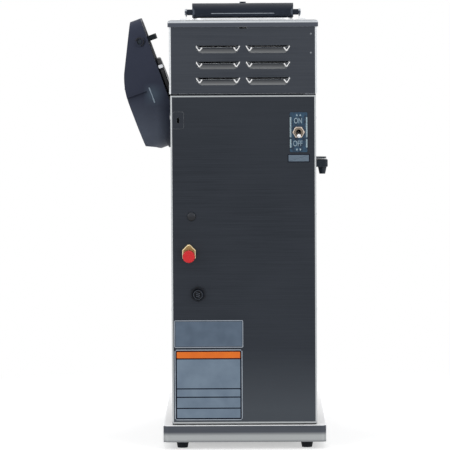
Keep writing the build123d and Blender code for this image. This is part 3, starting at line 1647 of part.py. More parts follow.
# The lid is drawn in its own frame: x runs from the hinge to the nose and z is the
# lid's thickness above its rim, so one tilt places every piece of it.
lid_along = (math.sin(lid_tilt), 0, math.cos(lid_tilt))
lid_out = (math.cos(lid_tilt), 0, -math.sin(lid_tilt))
lid_origin = (lid_hinge_x, brew_y, lid_hinge_z)
lid_plane = Plane(origin=lid_origin, x_dir=lid_along, z_dir=lid_out)
lid_side = Plane(origin=lid_origin, x_dir=lid_along, z_dir=(0, 1, 0))
slope_fall = (lid_height - lid_nose_height) / (lid_length - lid_slope_end)
floor_inset = lid_wall + lid_ledge_step


def slope_height(distance):
    """Height of the lid's sloping top at a distance from the hinge."""
    return lid_height - slope_fall * (distance - lid_slope_end)


def lid_outline(inset):
    """Plan outline of the lid, round at the hinge end and narrower at the nose."""
    nose_x = lid_length - lid_nose_radius
    nose_y = lid_nose_half_width - lid_nose_radius
    with Locations((stopper_middle, 0)):
        Circle(lid_half_width - inset)
    with Locations((nose_x, nose_y), (nose_x, -nose_y)):
        Circle(lid_nose_radius - inset)
    make_hull()


# Side outline of the lid, from its notch over the hinge to its nose and back
lid_profile = [
    (lid_back_gap, 0),
    (lid_length, 0),
    (lid_length, lid_nose_height),
    (lid_slope_end, lid_height),
    (lid_back_start, lid_height),
    (0, lid_back_height),
    (0, lid_back_gap + hinge_pin_radius),
]
with BuildPart() as lid_cavity:
    with BuildSketch(lid_side):
        with BuildLine():
            Polyline(*lid_profile, close=True)
        make_face()
        offset(amount=-lid_wall, kind=Kind.INTERSECTION)
    extrude(amount=lid_half_width, both=True)
    with BuildSketch(lid_plane):
        lid_outline(floor_inset)
    extrude(amount=lid_height, mode=Mode.INTERSECT)
    with BuildSketch(lid_plane):
        lid_outline(floor_inset)
        with Locations((lid_back_start, 0)):
            Rectangle(
                lid_back_start,
                2 * lid_half_width,
                align=(Align.MAX, Align.CENTER),
                mode=Mode.SUBTRACT,
            )
    extrude(amount=2 * lid_wall)

well_depth = lever_well_depth + lid_wall
with BuildPart() as lever_well:
    with BuildSketch(lid_side):
        with BuildLine():
            Polyline(
                (lever_start - 2 * lid_wall, slope_height(lever_start - 2 * lid_wall)),
                (lever_end + 2 * lid_wall, slope_height(lever_end + 2 * lid_wall)),
                (lever_end + 2 * lid_wall, slope_height(lever_end + 2 * lid_wall) - well_depth),
                (lever_start - 2 * lid_wall, slope_height(lever_start - 2 * lid_wall) - well_depth),
                close=True,
            )
        make_face()
    extrude(amount=lever_half_width + lid_wall + seat_gap, both=True)

lever_pin_x = lever_start + lever_pin_inset
lever_pin_z = slope_height(lever_pin_x) - lever_thickness / 2
with BuildPart() as lid_shell:
    with BuildSketch(lid_side):
        with BuildLine():
            Polyline(*lid_profile, close=True)
        make_face()
    extrude(amount=lid_half_width, both=True)
    with BuildSketch(lid_plane):
        lid_outline(0)
    extrude(amount=lid_height, mode=Mode.INTERSECT)
    with BuildSketch(lid_plane.offset(lid_ledge_height)):
        with Locations((lid_slope_end, 0)):
            Rectangle(
                2 * lid_slope_end,
                4 * lid_half_width,
                align=(Align.MAX, Align.CENTER),
            )
        with Locations((stopper_middle, 0)):
            Circle(lid_half_width - lid_ledge_step, mode=Mode.SUBTRACT)
    extrude(amount=lid_height, mode=Mode.SUBTRACT)
    add(lid_cavity.part, mode=Mode.SUBTRACT)
    add(lever_well.part)
    with BuildSketch(lid_side):
        with BuildLine():
            Polyline(
                (lever_start - lid_wall, slope_height(lever_start - lid_wall) + lid_wall),
                (lever_end + lid_wall, slope_height(lever_end + lid_wall) + lid_wall),
                (lever_end + lid_wall, slope_height(lever_end + lid_wall) - lever_well_depth),
                (lever_start - lid_wall, slope_height(lever_start - lid_wall) - lever_well_depth),
                close=True,
            )
        make_face()
    extrude(amount=lever_half_width + seat_gap, both=True, mode=Mode.SUBTRACT)
    for side in (-1, 1):
        with BuildSketch(lid_side.offset(side * latch_boss_inner_y)):
            with Locations((latch_distance, latch_height)):
                Circle(latch_boss_radius)
        extrude(amount=side * (latch_boss_outer_y - latch_boss_inner_y))
    with BuildSketch(lid_side):
        with Locations((latch_distance, latch_height)):
            Circle(latch_pin_radius + running_gap)
    extrude(amount=lid_half_width, both=True, mode=Mode.SUBTRACT)
    with BuildSketch(lid_side):
        Circle(hinge_knuckle_radius)
        with Locations((0, sheet / 2)):
            Rectangle(
                lid_back_start,
                lid_back_gap + hinge_pin_radius,
                align=(Align.MIN, Align.MIN),
            )
    extrude(amount=hinge_middle_half_length, both=True)
    with BuildSketch(lid_side):
        Circle(hinge_pin_radius + running_gap)
    extrude(amount=lid_half_width, both=True, mode=Mode.SUBTRACT)
    with BuildSketch(lid_side):
        with Locations((lever_pin_x, lever_pin_z)):
            Circle(lever_pin_radius)
    extrude(amount=lever_half_width + lid_wall + seat_gap, both=True, mode=Mode.SUBTRACT)
save(lid_shell, "airpot_lid_shell")

# Floor of the lid, with the hole for the stopper neck and slots for the latch pegs
neck_radius = bellows_radius + thin_sheet
with BuildPart() as lid_floor:
    with BuildSketch(lid_plane):
        lid_outline(floor_inset + seat_gap)
        with Locations((lid_back_start + seat_gap, 0)):
            Rectangle(
                lid_back_start,
                2 * lid_half_width,
                align=(Align.MAX, Align.CENTER),
                mode=Mode.SUBTRACT,
            )
        with Locations((stopper_middle, 0)):
            Circle(neck_radius + seat_gap, mode=Mode.SUBTRACT)
        with Locations((latch_distance, latch_peg_y), (latch_distance, -latch_peg_y)):
            Rectangle(
                latch_peg_length + 2 * latch_travel,
                latch_peg_width + 2 * thin_sheet,
                mode=Mode.SUBTRACT,
            )
    extrude(amount=lid_plate_thickness)
save(lid_floor, "airpot_lid_floor")

# Stopper: seals the airpot mouth and carries the pump bellows
with BuildPart() as lid_stopper:
    with BuildSketch(lid_plane.offset(-stopper_drop)):
        with Locations((stopper_middle, 0)):
            Circle(stopper_radius)
    extrude(amount=stopper_drop)
    chamfer(lid_stopper.edges().filter_by(GeomType.CIRCLE), sheet)
    with BuildSketch(lid_plane):
        with Locations((stopper_middle, 0)):
            Circle(neck_radius)
    extrude(amount=lid_plate_thickness)
save(lid_stopper, "airpot_lid_stopper")

# Pump bellows: a rubber concertina standing on the stopper
fold_height = bellows_height / bellows_folds
fold_points = [(0, lid_plate_thickness), (bellows_radius, lid_plate_thickness)]
for fold in range(bellows_folds):
    fold_z = lid_plate_thickness + fold * fold_height
    fold_points.append((bellows_radius - bellows_fold_depth, fold_z + fold_height / 2))
    fold_points.append((bellows_radius, fold_z + fold_height))
fold_points.append((0, lid_plate_thickness + bellows_height))
bellows_middle = (
    lid_hinge_x + stopper_middle * lid_along[0],
    brew_y,
    lid_hinge_z + stopper_middle * lid_along[2],
)
bellows_side = Plane(origin=bellows_middle, x_dir=lid_along, z_dir=(0, 1, 0))
with BuildPart() as lid_bellows:
    with BuildSketch(bellows_side):
        with BuildLine():
            Polyline(*fold_points, close=True)
        make_face()
    revolve(axis=Axis(bellows_middle, lid_out))
save(lid_bellows, "airpot_pump_bellows")

# Pump lever: the broad flap pressed to pump, lying flush in the lid's slope
with BuildPart() as pump_lever:
    with BuildSketch(lid_side):
        with BuildLine():
            Polyline(
                (lever_start, slope_height(lever_start)),
                (lever_end, slope_height(lever_end)),
                (lever_end, slope_height(lever_end) - lever_thickness),
                (lever_start, slope_height(lever_start) - lever_thickness),
                close=True,
            )
        make_face()
    extrude(amount=lever_half_width, both=True)
    with BuildSketch(lid_side):
        with Locations((lever_pin_x, lever_pin_z)):
            Circle(lever_pin_radius + running_gap)
    extrude(amount=lever_half_width, both=True, mode=Mode.SUBTRACT)
save(pump_lever, "airpot_pump_lever")

with BuildPart() as lever_pin:
    with BuildSketch(lid_side):
        with Locations((lever_pin_x, lever_pin_z)):
            Circle(lever_pin_radius)
    extrude(amount=lever_half_width + lid_wall + seat_gap, both=True)
save(lever_pin, "airpot_lever_pin")

# Latch: a cross bar turning in the lid's bosses, with two pegs that hook the collar
with BuildPart() as lid_latch:
    with BuildSketch(lid_side):
        with Locations((latch_distance, latch_height)):
            Circle(latch_pin_radius)
    extrude(amount=latch_boss_outer_y + thin_sheet, both=True)
    for side in (-1, 1):
        with BuildSketch(lid_plane.offset(latch_height)):
            with Locations((latch_distance, side * latch_peg_y)):
                Rectangle(latch_peg_length, latch_peg_width)
        extrude(amount=-latch_height - latch_peg_drop)
save(lid_latch, "airpot_lid_latch")
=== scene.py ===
import math

import bpy
from mathutils import Matrix, Vector


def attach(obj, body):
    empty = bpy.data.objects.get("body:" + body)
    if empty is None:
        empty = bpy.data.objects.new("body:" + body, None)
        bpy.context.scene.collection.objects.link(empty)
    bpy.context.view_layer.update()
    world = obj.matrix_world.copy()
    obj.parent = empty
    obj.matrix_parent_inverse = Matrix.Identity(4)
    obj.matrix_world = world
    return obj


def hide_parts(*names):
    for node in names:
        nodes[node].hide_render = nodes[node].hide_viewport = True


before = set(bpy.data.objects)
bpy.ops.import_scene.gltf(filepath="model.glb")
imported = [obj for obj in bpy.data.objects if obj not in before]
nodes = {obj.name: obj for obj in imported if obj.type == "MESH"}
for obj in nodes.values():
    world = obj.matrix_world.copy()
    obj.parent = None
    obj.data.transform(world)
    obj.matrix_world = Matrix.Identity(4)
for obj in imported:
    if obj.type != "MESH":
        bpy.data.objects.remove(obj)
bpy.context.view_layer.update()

# Base pan and feet.
# The pan is folded from brushed stainless sheet; a painted reflection of the pale counter lightens
# the lower half of its rear lip, a painted shade darkens a band near its foot, and painted
# highlights and a painted reflection light its top. Four tapered rubber feet push up through its
# return flange.


def let_go():
    """Nothing stays selected, so the next operator acts on its own piece alone."""
    bpy.ops.object.select_all(action="DESELECT")


def paint(red, green, blue):
    """A screen colour of 0 to 255 as the linear colour that a shader takes."""
    steps = [value / 255 for value in (red, green, blue)]
    linear = [s / 12.92 if s <= 0.04045 else ((s + 0.055) / 1.055) ** 2.4 for s in steps]
    return (*linear, 1.0)


def wire(tree, kind, *feeds, **settings):
    """Adds one shader node; each feed is a value, or the socket that drives that input."""
    node = tree.nodes.new("ShaderNode" + kind)
    for key, value in settings.items():
        setattr(node, key, value)
    for socket, feed in zip(node.inputs, feeds):
        if isinstance(feed, bpy.types.NodeSocket):
            tree.links.new(feed, socket)
        elif feed is not None:
            socket.default_value = feed
    return node


def sums(tree, operation, *feeds):
    """One Math node and its result."""
    return wire(tree, "Math", *feeds, operation=operation).outputs[0]


def stretch(tree, value, low, high, new_low, new_high):
    """Maps a value from one range to another and keeps it inside."""
    return wire(tree, "MapRange", value, low, high, new_low, new_high).outputs[0]


def tint(tree, share, first, second):
    """Mixes two colours by a share of 0 to 1."""
    node = tree.nodes.new("ShaderNodeMix")
    node.data_type = "RGBA"
    for index, feed in ((0, share), (6, first), (7, second)):
        if isinstance(feed, bpy.types.NodeSocket):
            tree.links.new(feed, node.inputs[index])
        else:
            node.inputs[index].default_value = feed
    return node.outputs[2]


def noise(tree, vector, scale, detail=3.0, roughness=0.55):
    """A noise value of 0 to 1."""
    node = tree.nodes.new("ShaderNodeTexNoise")
    tree.links.new(vector, node.inputs["Vector"])
    node.inputs["Scale"].default_value = scale
    node.inputs["Detail"].default_value = detail
    node.inputs["Roughness"].default_value = roughness
    return node.outputs[0]


def effect(name, inputs, outputs):
    """An empty shader node group with named number inputs and outputs."""
    tree = bpy.data.node_groups.new(name, "ShaderNodeTree")
    for label, start in inputs:
        socket = tree.interface.new_socket(label, in_out="INPUT", socket_type="NodeSocketFloat")
        socket.default_value = start
    for label, kind in outputs:
        tree.interface.new_socket(label, in_out="OUTPUT", socket_type=kind)
    return tree, tree.nodes.new("NodeGroupInput"), tree.nodes.new("NodeGroupOutput")


# Brushed lines run level on upright faces and across on level ones
lines_group, given, result = effect(
    "brushed_lines",
    [("Width", 0.001), ("Length", 0.1)],
    [("Lines", "NodeSocketFloat"), ("Cloud", "NodeSocketFloat")],
)
place = wire(lines_group, "TexCoord")
facing = wire(lines_group, "SeparateXYZ", place.outputs["Normal"])
level = sums(lines_group, "GREATER_THAN", sums(lines_group, "ABSOLUTE", facing.outputs[2]), 0.7)
fine = sums(lines_group, "DIVIDE", 1.0, given.outputs["Width"])
long = sums(lines_group, "DIVIDE", 1.0, given.outputs["Length"])
upright_pull = wire(lines_group, "CombineXYZ", long, long, fine)
level_pull = wire(lines_group, "CombineXYZ", long, fine, long)
pull = wire(lines_group, "Mix", data_type="VECTOR")
lines_group.links.new(level, pull.inputs[0])
lines_group.links.new(upright_pull.outputs[0], pull.inputs[4])
lines_group.links.new(level_pull.outputs[0], pull.inputs[5])
pulled = wire(
    lines_group, "VectorMath", place.outputs["Object"], pull.outputs[1], operation="MULTIPLY"
)
lines_group.links.new(noise(lines_group, pulled.outputs[0], 1.0, 5.0, 0.7), result.inputs[0])
lines_group.links.new(noise(lines_group, place.outputs["Object"], 7.0, 2.0), result.inputs[1])

# Where a point lies on the machine, and which way it faces, for colours that change by place:
# mostly painted light and shade, and once a part's own colour
spot_group, given, result = effect(
    "spot_on_machine",
    [],
    [(label, "NodeSocketFloat") for label in ("Aside", "Behind", "Height", "Up", "Sideways")],
)
place = wire(spot_group, "TexCoord")
spot = wire(spot_group, "SeparateXYZ", place.outputs["Object"])
facing = wire(spot_group, "SeparateXYZ", place.outputs["Normal"])
for index, source in enumerate(
    (
        sums(spot_group, "ABSOLUTE", spot.outputs[0]),
        spot.outputs[1],
        spot.outputs[2],
        facing.outputs[2],
        sums(spot_group, "ABSOLUTE", facing.outputs[0]),
    )
):
    spot_group.links.new(source, result.inputs[index])

# Folds and bends of sheet metal, where the surface turns away from the three main directions; the
# steels get a painted highlight there
fold_group, given, result = effect(
    "fold_light", [("Start", 0.99), ("Full", 0.86)], [("Fold", "NodeSocketFloat")]
)
place = wire(fold_group, "TexCoord")
turned = wire(fold_group, "VectorMath", place.outputs["Normal"], operation="ABSOLUTE")
facing = wire(fold_group, "SeparateXYZ", turned.outputs[0])
most = sums(fold_group, "MAXIMUM", facing.outputs[0], facing.outputs[1])
most = sums(fold_group, "MAXIMUM", most, facing.outputs[2])
fold = wire(fold_group, "MapRange", most, given.outputs["Start"], given.outputs["Full"], 0.0, 1.0)
fold_group.links.new(fold.outputs[0], result.inputs[0])

# Softened edges: a rounded normal, and a mask of the edges, which the plastics pale as rubbed wear
# and the steels light with a painted highlight
edge_group, given, result = effect(
    "soft_edges",
    [("Radius", 0.0006)],
    [("Edge", "NodeSocketFloat"), ("Normal", "NodeSocketVector")],
)
rounded = wire(edge_group, "Bevel", given.outputs["Radius"], samples=6)
plain = wire(edge_group, "NewGeometry")
turned = wire(
    edge_group, "VectorMath", rounded.outputs[0], plain.outputs["Normal"], operation="DOT_PRODUCT"
)
edge_group.links.new(
    stretch(edge_group, turned.outputs["Value"], 0.98, 0.80, 0.0, 1.0), result.inputs[0]
)
edge_group.links.new(rounded.outputs[0], result.inputs[1])

# Handling marks: broad smudges and a fine dust that vary the gloss
marks_group, given, result = effect(
    "handling_marks",
    [("Size", 0.03)],
    [("Smudge", "NodeSocketFloat"), ("Dust", "NodeSocketFloat")],
)
place = wire(marks_group, "TexCoord")
broad = wire(marks_group, "TexNoise", place.outputs["Object"])
marks_group.links.new(
    sums(marks_group, "DIVIDE", 1.0, given.outputs["Size"]), broad.inputs["Scale"]
)
marks_group.links.new(broad.outputs[0], result.inputs[0])
specks = noise(marks_group, place.outputs["Object"], 900.0, 2.0)
marks_group.links.new(stretch(marks_group, specks, 0.62, 0.75, 0.0, 1.0), result.inputs[1])


def start_material(name, metallic, specular=0.5):
    """An empty material with a Principled shader, and its tree."""
    material = bpy.data.materials.new(name)
    material.use_nodes = True
    tree = material.node_tree
    tree.nodes.clear()
    skin = tree.nodes.new("ShaderNodeBsdfPrincipled")
    skin.inputs["Metallic"].default_value = metallic
    skin.inputs["Specular IOR Level"].default_value = specular
    tree.links.new(skin.outputs[0], wire(tree, "OutputMaterial").inputs[0])
    return material, tree, skin


def place_group(tree, group, **values):
    """Puts one of the shared effects in a material with its own values."""
    node = tree.nodes.new("ShaderNodeGroup")
    node.node_tree = group
    for label, value in values.items():
        node.inputs[label].default_value = value
    return node


def relief(tree, height, strength, distance, normal):
    """A bump from a height, over an already softened normal."""
    node = tree.nodes.new("ShaderNodeBump")
    node.inputs["Strength"].default_value = strength
    node.inputs["Distance"].default_value = distance
    tree.links.new(height, node.inputs["Height"])
    tree.links.new(normal, node.inputs["Normal"])
    return node.outputs[0]


def trim(tree, colour, trims):
    """Changes a colour by place, mostly as painted light and shade: each trim is a list of limits,
    its new colour and its share.
    """
    if not trims:
        return colour
    spot = place_group(tree, spot_group)
    for limits, new_colour, share in trims:
        mask = share
        for label, start, full in limits:
            mask = sums(
                tree, "MULTIPLY", mask, stretch(tree, spot.outputs[label], start, full, 0.0, 1.0)
            )
        colour = tint(tree, mask, colour, new_colour)
    return colour


def sheet_steel(name, dark, light, bright, width=0.0011, length=0.09, gloss=(0.3, 0.46),
                metallic=0.9, edge=0.35, folds=1.0, trims=(), grazing_reflection=None):
    """Brushed steel sheet: level lines, slow clouding, painted highlights on folds and edges, and
    trims of painted light and shade.

    A grazing reflection is a painted reflection: the colour that its level faces take when they are
    seen at a low angle.
    """
    material, tree, skin = start_material(name, metallic)
    lines = place_group(tree, lines_group, Width=width, Length=length)
    fold = place_group(tree, fold_group)
    soft = place_group(tree, edge_group, Radius=0.0005)
    marks = place_group(tree, marks_group, Size=0.05)
    colour = tint(tree, stretch(tree, lines.outputs[0], 0.3, 0.7, 0.0, 1.0), dark, light)
    clouding = stretch(tree, lines.outputs[1], 0.35, 0.65, 0.0, 0.5)
    colour = tint(tree, clouding, colour, light)
    # Painted highlights on the folds, then trims of painted light and shade, then painted
    # highlights on the edges
    colour = tint(tree, sums(tree, "MULTIPLY", fold.outputs[0], folds), colour, bright)
    colour = trim(tree, colour, trims)
    colour = tint(tree, sums(tree, "MULTIPLY", soft.outputs[0], edge), colour, bright)
    # A painted reflection on level faces seen at a low angle
    if grazing_reflection:
        low_angle = wire(tree, "LayerWeight", 0.5).outputs["Facing"]
        share = stretch(tree, low_angle, 0.72, 0.9, 0.0, 1.0)
        up = place_group(tree, spot_group).outputs["Up"]
        share = sums(tree, "MULTIPLY", share, stretch(tree, up, 0.9, 0.97, 0.0, 1.0))
        colour = tint(tree, share, colour, grazing_reflection)
    tree.links.new(colour, skin.inputs["Base Color"])
    dull = sums(tree, "MULTIPLY", marks.outputs[0], 0.14)
    gloss_value = stretch(tree, lines.outputs[0], 0.25, 0.75, *gloss)
    tree.links.new(sums(tree, "ADD", gloss_value, dull), skin.inputs["Roughness"])
    tree.links.new(
        relief(tree, lines.outputs[0], 0.12, 0.0002, soft.outputs[1]), skin.inputs["Normal"]
    )
    return material


def moulded(name, colour, worn, gloss=(0.34, 0.5), grain=1400.0, depth=0.12, specular=0.35,
            radius=0.0006, edge=0.25, coat=0.0, trims=(), glow=0.0):
    """Moulded plastic or rubber: spark-eroded grain, smudges, dust, edges paled as wear, trims of
    painted light and shade, and a glow of painted light.
    """
    material, tree, skin = start_material(name, 0.0, specular)
    # A glow of painted light, which only the pale window block uses
    skin.inputs["Emission Strength"].default_value = glow
    skin.inputs["Coat Weight"].default_value = coat
    skin.inputs["Coat Roughness"].default_value = 0.18
    place = wire(tree, "TexCoord")
    soft = place_group(tree, edge_group, Radius=radius)
    marks = place_group(tree, marks_group, Size=0.04)
    skin_grain = noise(tree, place.outputs["Object"], grain, 3.0)
    tone = stretch(tree, marks.outputs[0], 0.3, 0.7, 0.0, 0.35)
    # Trims of painted light and shade by place, then edges paled as rubbed wear
    mixed = trim(tree, tint(tree, tone, colour, worn), trims)
    mixed = tint(tree, sums(tree, "MULTIPLY", soft.outputs[0], edge), mixed, worn)
    mixed = tint(tree, sums(tree, "MULTIPLY", marks.outputs[1], 0.12), mixed, worn)
    tree.links.new(mixed, skin.inputs["Base Color"])
    tree.links.new(mixed, skin.inputs["Emission Color"])
    tree.links.new(stretch(tree, marks.outputs[0], 0.3, 0.7, *gloss), skin.inputs["Roughness"])
    tree.links.new(
        relief(tree, skin_grain, depth, 0.00025, soft.outputs[1]), skin.inputs["Normal"]
    )
    return material


def finish(material, slot, *names):
    """Gives CAD pieces their material; the slot is not used."""
    for name in names:
        piece = nodes[name]
        piece.data.materials.clear()
        piece.data.materials.append(material)


# Painted light on the pan: a painted reflection lightens the lower half of the lip, a painted shade
# darkens a band near the foot, painted highlights light the top fillet, and a painted reflection
# lightens and whitens the top
base_steel = sheet_steel(
    "base_steel", paint(66, 70, 77), paint(82, 86, 93), paint(215, 217, 220),
    length=0.12, folds=0.0, metallic=0.88, edge=0.2,
    trims=[
        ([("Height", 0.0240, 0.0190), ("Up", 0.5, 0.3)], paint(164, 167, 168), 1.0),
        ([("Height", 0.0135, 0.0105), ("Up", 0.5, 0.3)], paint(96, 99, 103), 0.7),
        ([("Up", 0.12, 0.3)], paint(226, 228, 230), 1.0),
        ([("Up", 0.9, 0.98)], paint(168, 171, 175), 1.0),
    ],
    grazing_reflection=(1.0, 1.0, 1.0, 1.0),
)
finish(base_steel, "base_steel", "base_pan")

foot_rubber = moulded(
    "foot_rubber", paint(13, 18, 25), paint(42, 47, 54), gloss=(0.55, 0.72), grain=900.0,
    specular=0.25,
)
finish(foot_rubber, "black_rubber", "feet")

# Trunk: shell, rear panel and deck.
# Dark satin stainless sheet, brushed level. The rear panel closes the trunk with folded edges and a
# hem that carry painted highlights;
# it is painted lighter towards its top and its foot, and its lap on the shell is held by pan head
# screws. The deck carries painted shade, as a darker copy of the sheet.
# Painted light on the rear panel: lighter towards its foot and its top, and painted highlights
# along its top edge, its side edges and its hem
panel_steel = sheet_steel(
    "panel_steel", paint(40, 44, 50), paint(53, 57, 64), paint(205, 210, 214),
    trims=[
        ([("Height", 0.140, 0.055)], paint(72, 77, 83), 0.85),
        ([("Height", 0.400, 0.490)], paint(56, 60, 66), 0.4),
        ([("Height", 0.4924, 0.4928)], paint(178, 182, 185), 0.95),
        ([("Aside", 0.0990, 0.0996), ("Behind", 0.2120, 0.2128)], paint(186, 189, 191), 1.0),
        ([("Height", 0.0380, 0.0376), ("Behind", 0.2140, 0.2144)], paint(172, 175, 177), 1.0),
    ],
)
finish(panel_steel, "trunk_steel", "rear_panel")
trunk_steel = sheet_steel("trunk_steel", paint(47, 51, 58), paint(60, 64, 71), paint(205, 210, 214))
finish(trunk_steel, "trunk_steel", "trunk_shell")
# Painted shade: the deck is a darker copy of the trunk sheet
deck_steel_shaded = sheet_steel("deck_steel_shaded", paint(22, 24, 28), paint(32, 35, 40), paint(60, 64, 70))
finish(deck_steel_shaded, "trunk_steel", "trunk_deck")


def pick(piece):
    """Makes one piece the active one and the only one that is selected."""
    let_go()
    piece.select_set(True)
    bpy.context.view_layer.objects.active = piece


def settle(piece, name):
    """Names a piece and puts its place, turn and size into its mesh."""
    pick(piece)
    bpy.ops.object.transform_apply(location=True, rotation=True, scale=True)
    piece.name = name
    piece.data.name = name
    return piece


def choose(piece, kind, test):
    """Opens a piece for editing with the faces or edges that pass a test selected."""
    pick(piece)
    mesh = piece.data
    for parts in (mesh.vertices, mesh.edges, mesh.polygons):
        parts.foreach_set("select", [False] * len(parts))
    if kind == "FACE":
        for face in mesh.polygons:
            face.select = test(face.center, face.normal)
    else:
        for edge in mesh.edges:
            start, end = (mesh.vertices[index].co for index in edge.vertices)
            edge.select = test((start + end) / 2, (end - start).normalized())
    bpy.context.tool_settings.mesh_select_mode = (False, kind == "EDGE", kind == "FACE")
    bpy.ops.object.mode_set(mode="EDIT")


def done():
    """Leaves edit mode."""
    bpy.ops.object.mode_set(mode="OBJECT")


def block(name, low, high):
    """A box between two corners, ready to be shaped."""
    let_go()
    middle = [(a + b) / 2 for a, b in zip(low, high)]
    bpy.ops.mesh.primitive_cube_add(size=1.0, location=middle)
    piece = bpy.context.object
    piece.scale = [b - a for a, b in zip(low, high)]
    return settle(piece, name)


def round_off(piece, width, steps, test):
    """Rounds the edges that pass a test."""
    choose(piece, "EDGE", test)
    bpy.ops.mesh.bevel(offset=width, segments=steps, affect="EDGES")
    done()


def dress(piece, body="brewer"):
    """Smooths a piece up to 35 degrees and makes it ride."""
    pick(piece)
    bpy.ops.object.shade_smooth_by_angle(angle=math.radians(35))
    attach(piece, body)


def coat(piece, material, slot, body="brewer"):
    """Gives a new piece one material and dresses it."""
    piece.data.materials.clear()
    piece.data.materials.append(material)
    dress(piece, body)


def carve(piece, size, place, turn):
    """Cuts a block out of a piece."""
    let_go()
    bpy.ops.mesh.primitive_cube_add(size=1.0, location=place, rotation=turn)
    cutter = bpy.context.object
    cutter.scale = size
    settle(cutter, "cutter")
    pick(piece)
    cut = piece.modifiers.new("cut", "BOOLEAN")
    cut.operation = "DIFFERENCE"
    cut.object = cutter
    bpy.ops.object.modifier_apply(modifier=cut.name)
    bpy.data.objects.remove(cutter)


screw_radius = 0.0031
screw_rise = 0.0013
screw_rounding = 0.0009
cross_slot = (0.0035, 0.0007, 0.0014)
let_go()
bpy.ops.mesh.primitive_cylinder_add(vertices=28, radius=screw_radius, depth=2 * screw_rise)
screw = settle(bpy.context.object, "screw_pattern")
round_off(screw, screw_rounding, 4, lambda middle, way: middle.z > 0.9 * screw_rise)
for turn in (0, 90):
    carve(screw, cross_slot, (0, 0, screw_rise), (0, 0, math.radians(turn)))

screw_steel = sheet_steel(
    "screw_steel", paint(150, 152, 156), paint(190, 192, 195), paint(225, 226, 228),
    width=0.0002, length=0.002, gloss=(0.22, 0.34),
)


def set_screws(name, places, axis):
    """Copies of the screw, each at its place and facing along an axis."""
    turn = Vector((0, 0, 1)).rotation_difference(Vector(axis)).to_matrix().to_4x4()
    for index, place in enumerate(places):
        copy = screw.copy()
        copy.data = screw.data.copy()
        bpy.context.scene.collection.objects.link(copy)
        copy.data.transform(Matrix.Translation(place) @ turn)
        copy.name = f"{name}_{index + 1}"
        copy.data.name = copy.name
        coat(copy, screw_steel, "chrome")


both_sides = ((1, "left"), (-1, "right"))
trunk_face_x = 0.1008
lap_y = 0.2085
for side, label in both_sides:
    set_screws(
        f"trunk_screw_{label}",
        [(side * trunk_face_x, lap_y, z) for z in (0.062, 0.196, 0.33, 0.464)],
        (side, 0, 0),
    )

# Rear plates: two bare data plates and a small one under the switch.
# Printed aluminium film on the rear panel. Each is left without words; the lower one keeps
# its dark frame, a plain orange head and the rules between its empty rows.


def film(name, colour, second, gloss=0.36, size=0.02, metallic=0.15, specular=0.5):
    """Printed film: a satin colour with a faint mottle and a fine print grain."""
    material, tree, skin = start_material(name, metallic, specular)
    place = wire(tree, "TexCoord")
    marks = place_group(tree, marks_group, Size=size)
    mottle = stretch(tree, marks.outputs[0], 0.3, 0.7, 0.0, 1.0)
    tree.links.new(tint(tree, mottle, colour, second), skin.inputs["Base Color"])
    tree.links.new(
        stretch(tree, marks.outputs[0], 0.3, 0.7, gloss, gloss + 0.1), skin.inputs["Roughness"]
    )
    grain = noise(tree, place.outputs["Object"], 2500.0)
    flat = wire(tree, "NewGeometry").outputs["Normal"]
    tree.links.new(relief(tree, grain, 0.05, 0.0001, flat), skin.inputs["Normal"])
    return material


plate_film = film("plate_film", paint(104, 122, 141), paint(117, 135, 153))
plate_rim = film("plate_rim", paint(150, 160, 172), paint(166, 175, 186))
plate_ink = film(
    "plate_ink", paint(8, 12, 26), paint(14, 18, 32), gloss=0.5, metallic=0.0, specular=0.08
)
plate_orange = film("plate_orange", paint(230, 108, 4), paint(236, 116, 12))
plate_dim = film("plate_dim", paint(76, 93, 112), paint(90, 107, 126))
plate_small = film("plate_small", paint(90, 106, 122), paint(102, 118, 134))
panel_y = 0.216
film_thickness = 0.0004
film_sink = 0.0001
on_field, on_rim, on_ink, on_orange = range(4)


def printed_plate(name, left, right, low, high, corner, borders, rules=(), bands=(),
                  face=plate_film):
    """A film plate with printed borders, rules across it and coloured bands."""
    piece = block(name, (left, panel_y - film_sink, low), (right, panel_y + film_thickness, high))
    round_off(piece, corner, 5, lambda middle, way: abs(way.y) > 0.9)
    piece.data.materials.clear()
    for material in (face, plate_rim, plate_ink, plate_orange):
        piece.data.materials.append(material)
    middle_x = (left + right) / 2
    middle_z = (low + high) / 2
    for width, shade in borders:
        choose(
            piece,
            "FACE",
            lambda middle, way: way.y > 0.9
            and abs(middle.x - middle_x) < 0.002
            and abs(middle.z - middle_z) < 0.002,
        )
        bpy.ops.mesh.inset(thickness=width, use_boundary=True)
        done()
    inset = sum(width for width, shade in borders)

    def inside(middle, way):
        """Whether a face belongs to the field within the borders."""
        return (
            way.y > 0.9
            and left + inset < middle.x < right - inset
            and low + inset < middle.z < high - inset
        )

    for z in sorted({z for row in (*rules, *bands) for z in row}):
        choose(piece, "FACE", inside)
        bpy.ops.mesh.bisect(plane_co=(0, panel_y, z), plane_no=(0, 0, 1))
        done()
    for polygon in piece.data.polygons:
        middle = polygon.center
        if polygon.normal.y < 0.9:
            polygon.material_index = borders[0][1]
        elif inside(middle, polygon.normal):
            polygon.material_index = on_field
            if any(start < middle.z < end for start, end in rules):
                polygon.material_index = on_ink
            if any(start < middle.z < end for start, end in bands):
                polygon.material_index = on_orange
        else:
            reach = min(middle.x - left, right - middle.x, middle.z - low, high - middle.z)
            edge = 0.0
            for width, shade in borders:
                if reach >= edge - 0.00001:
                    polygon.material_index = shade
                edge += width
    dress(piece)


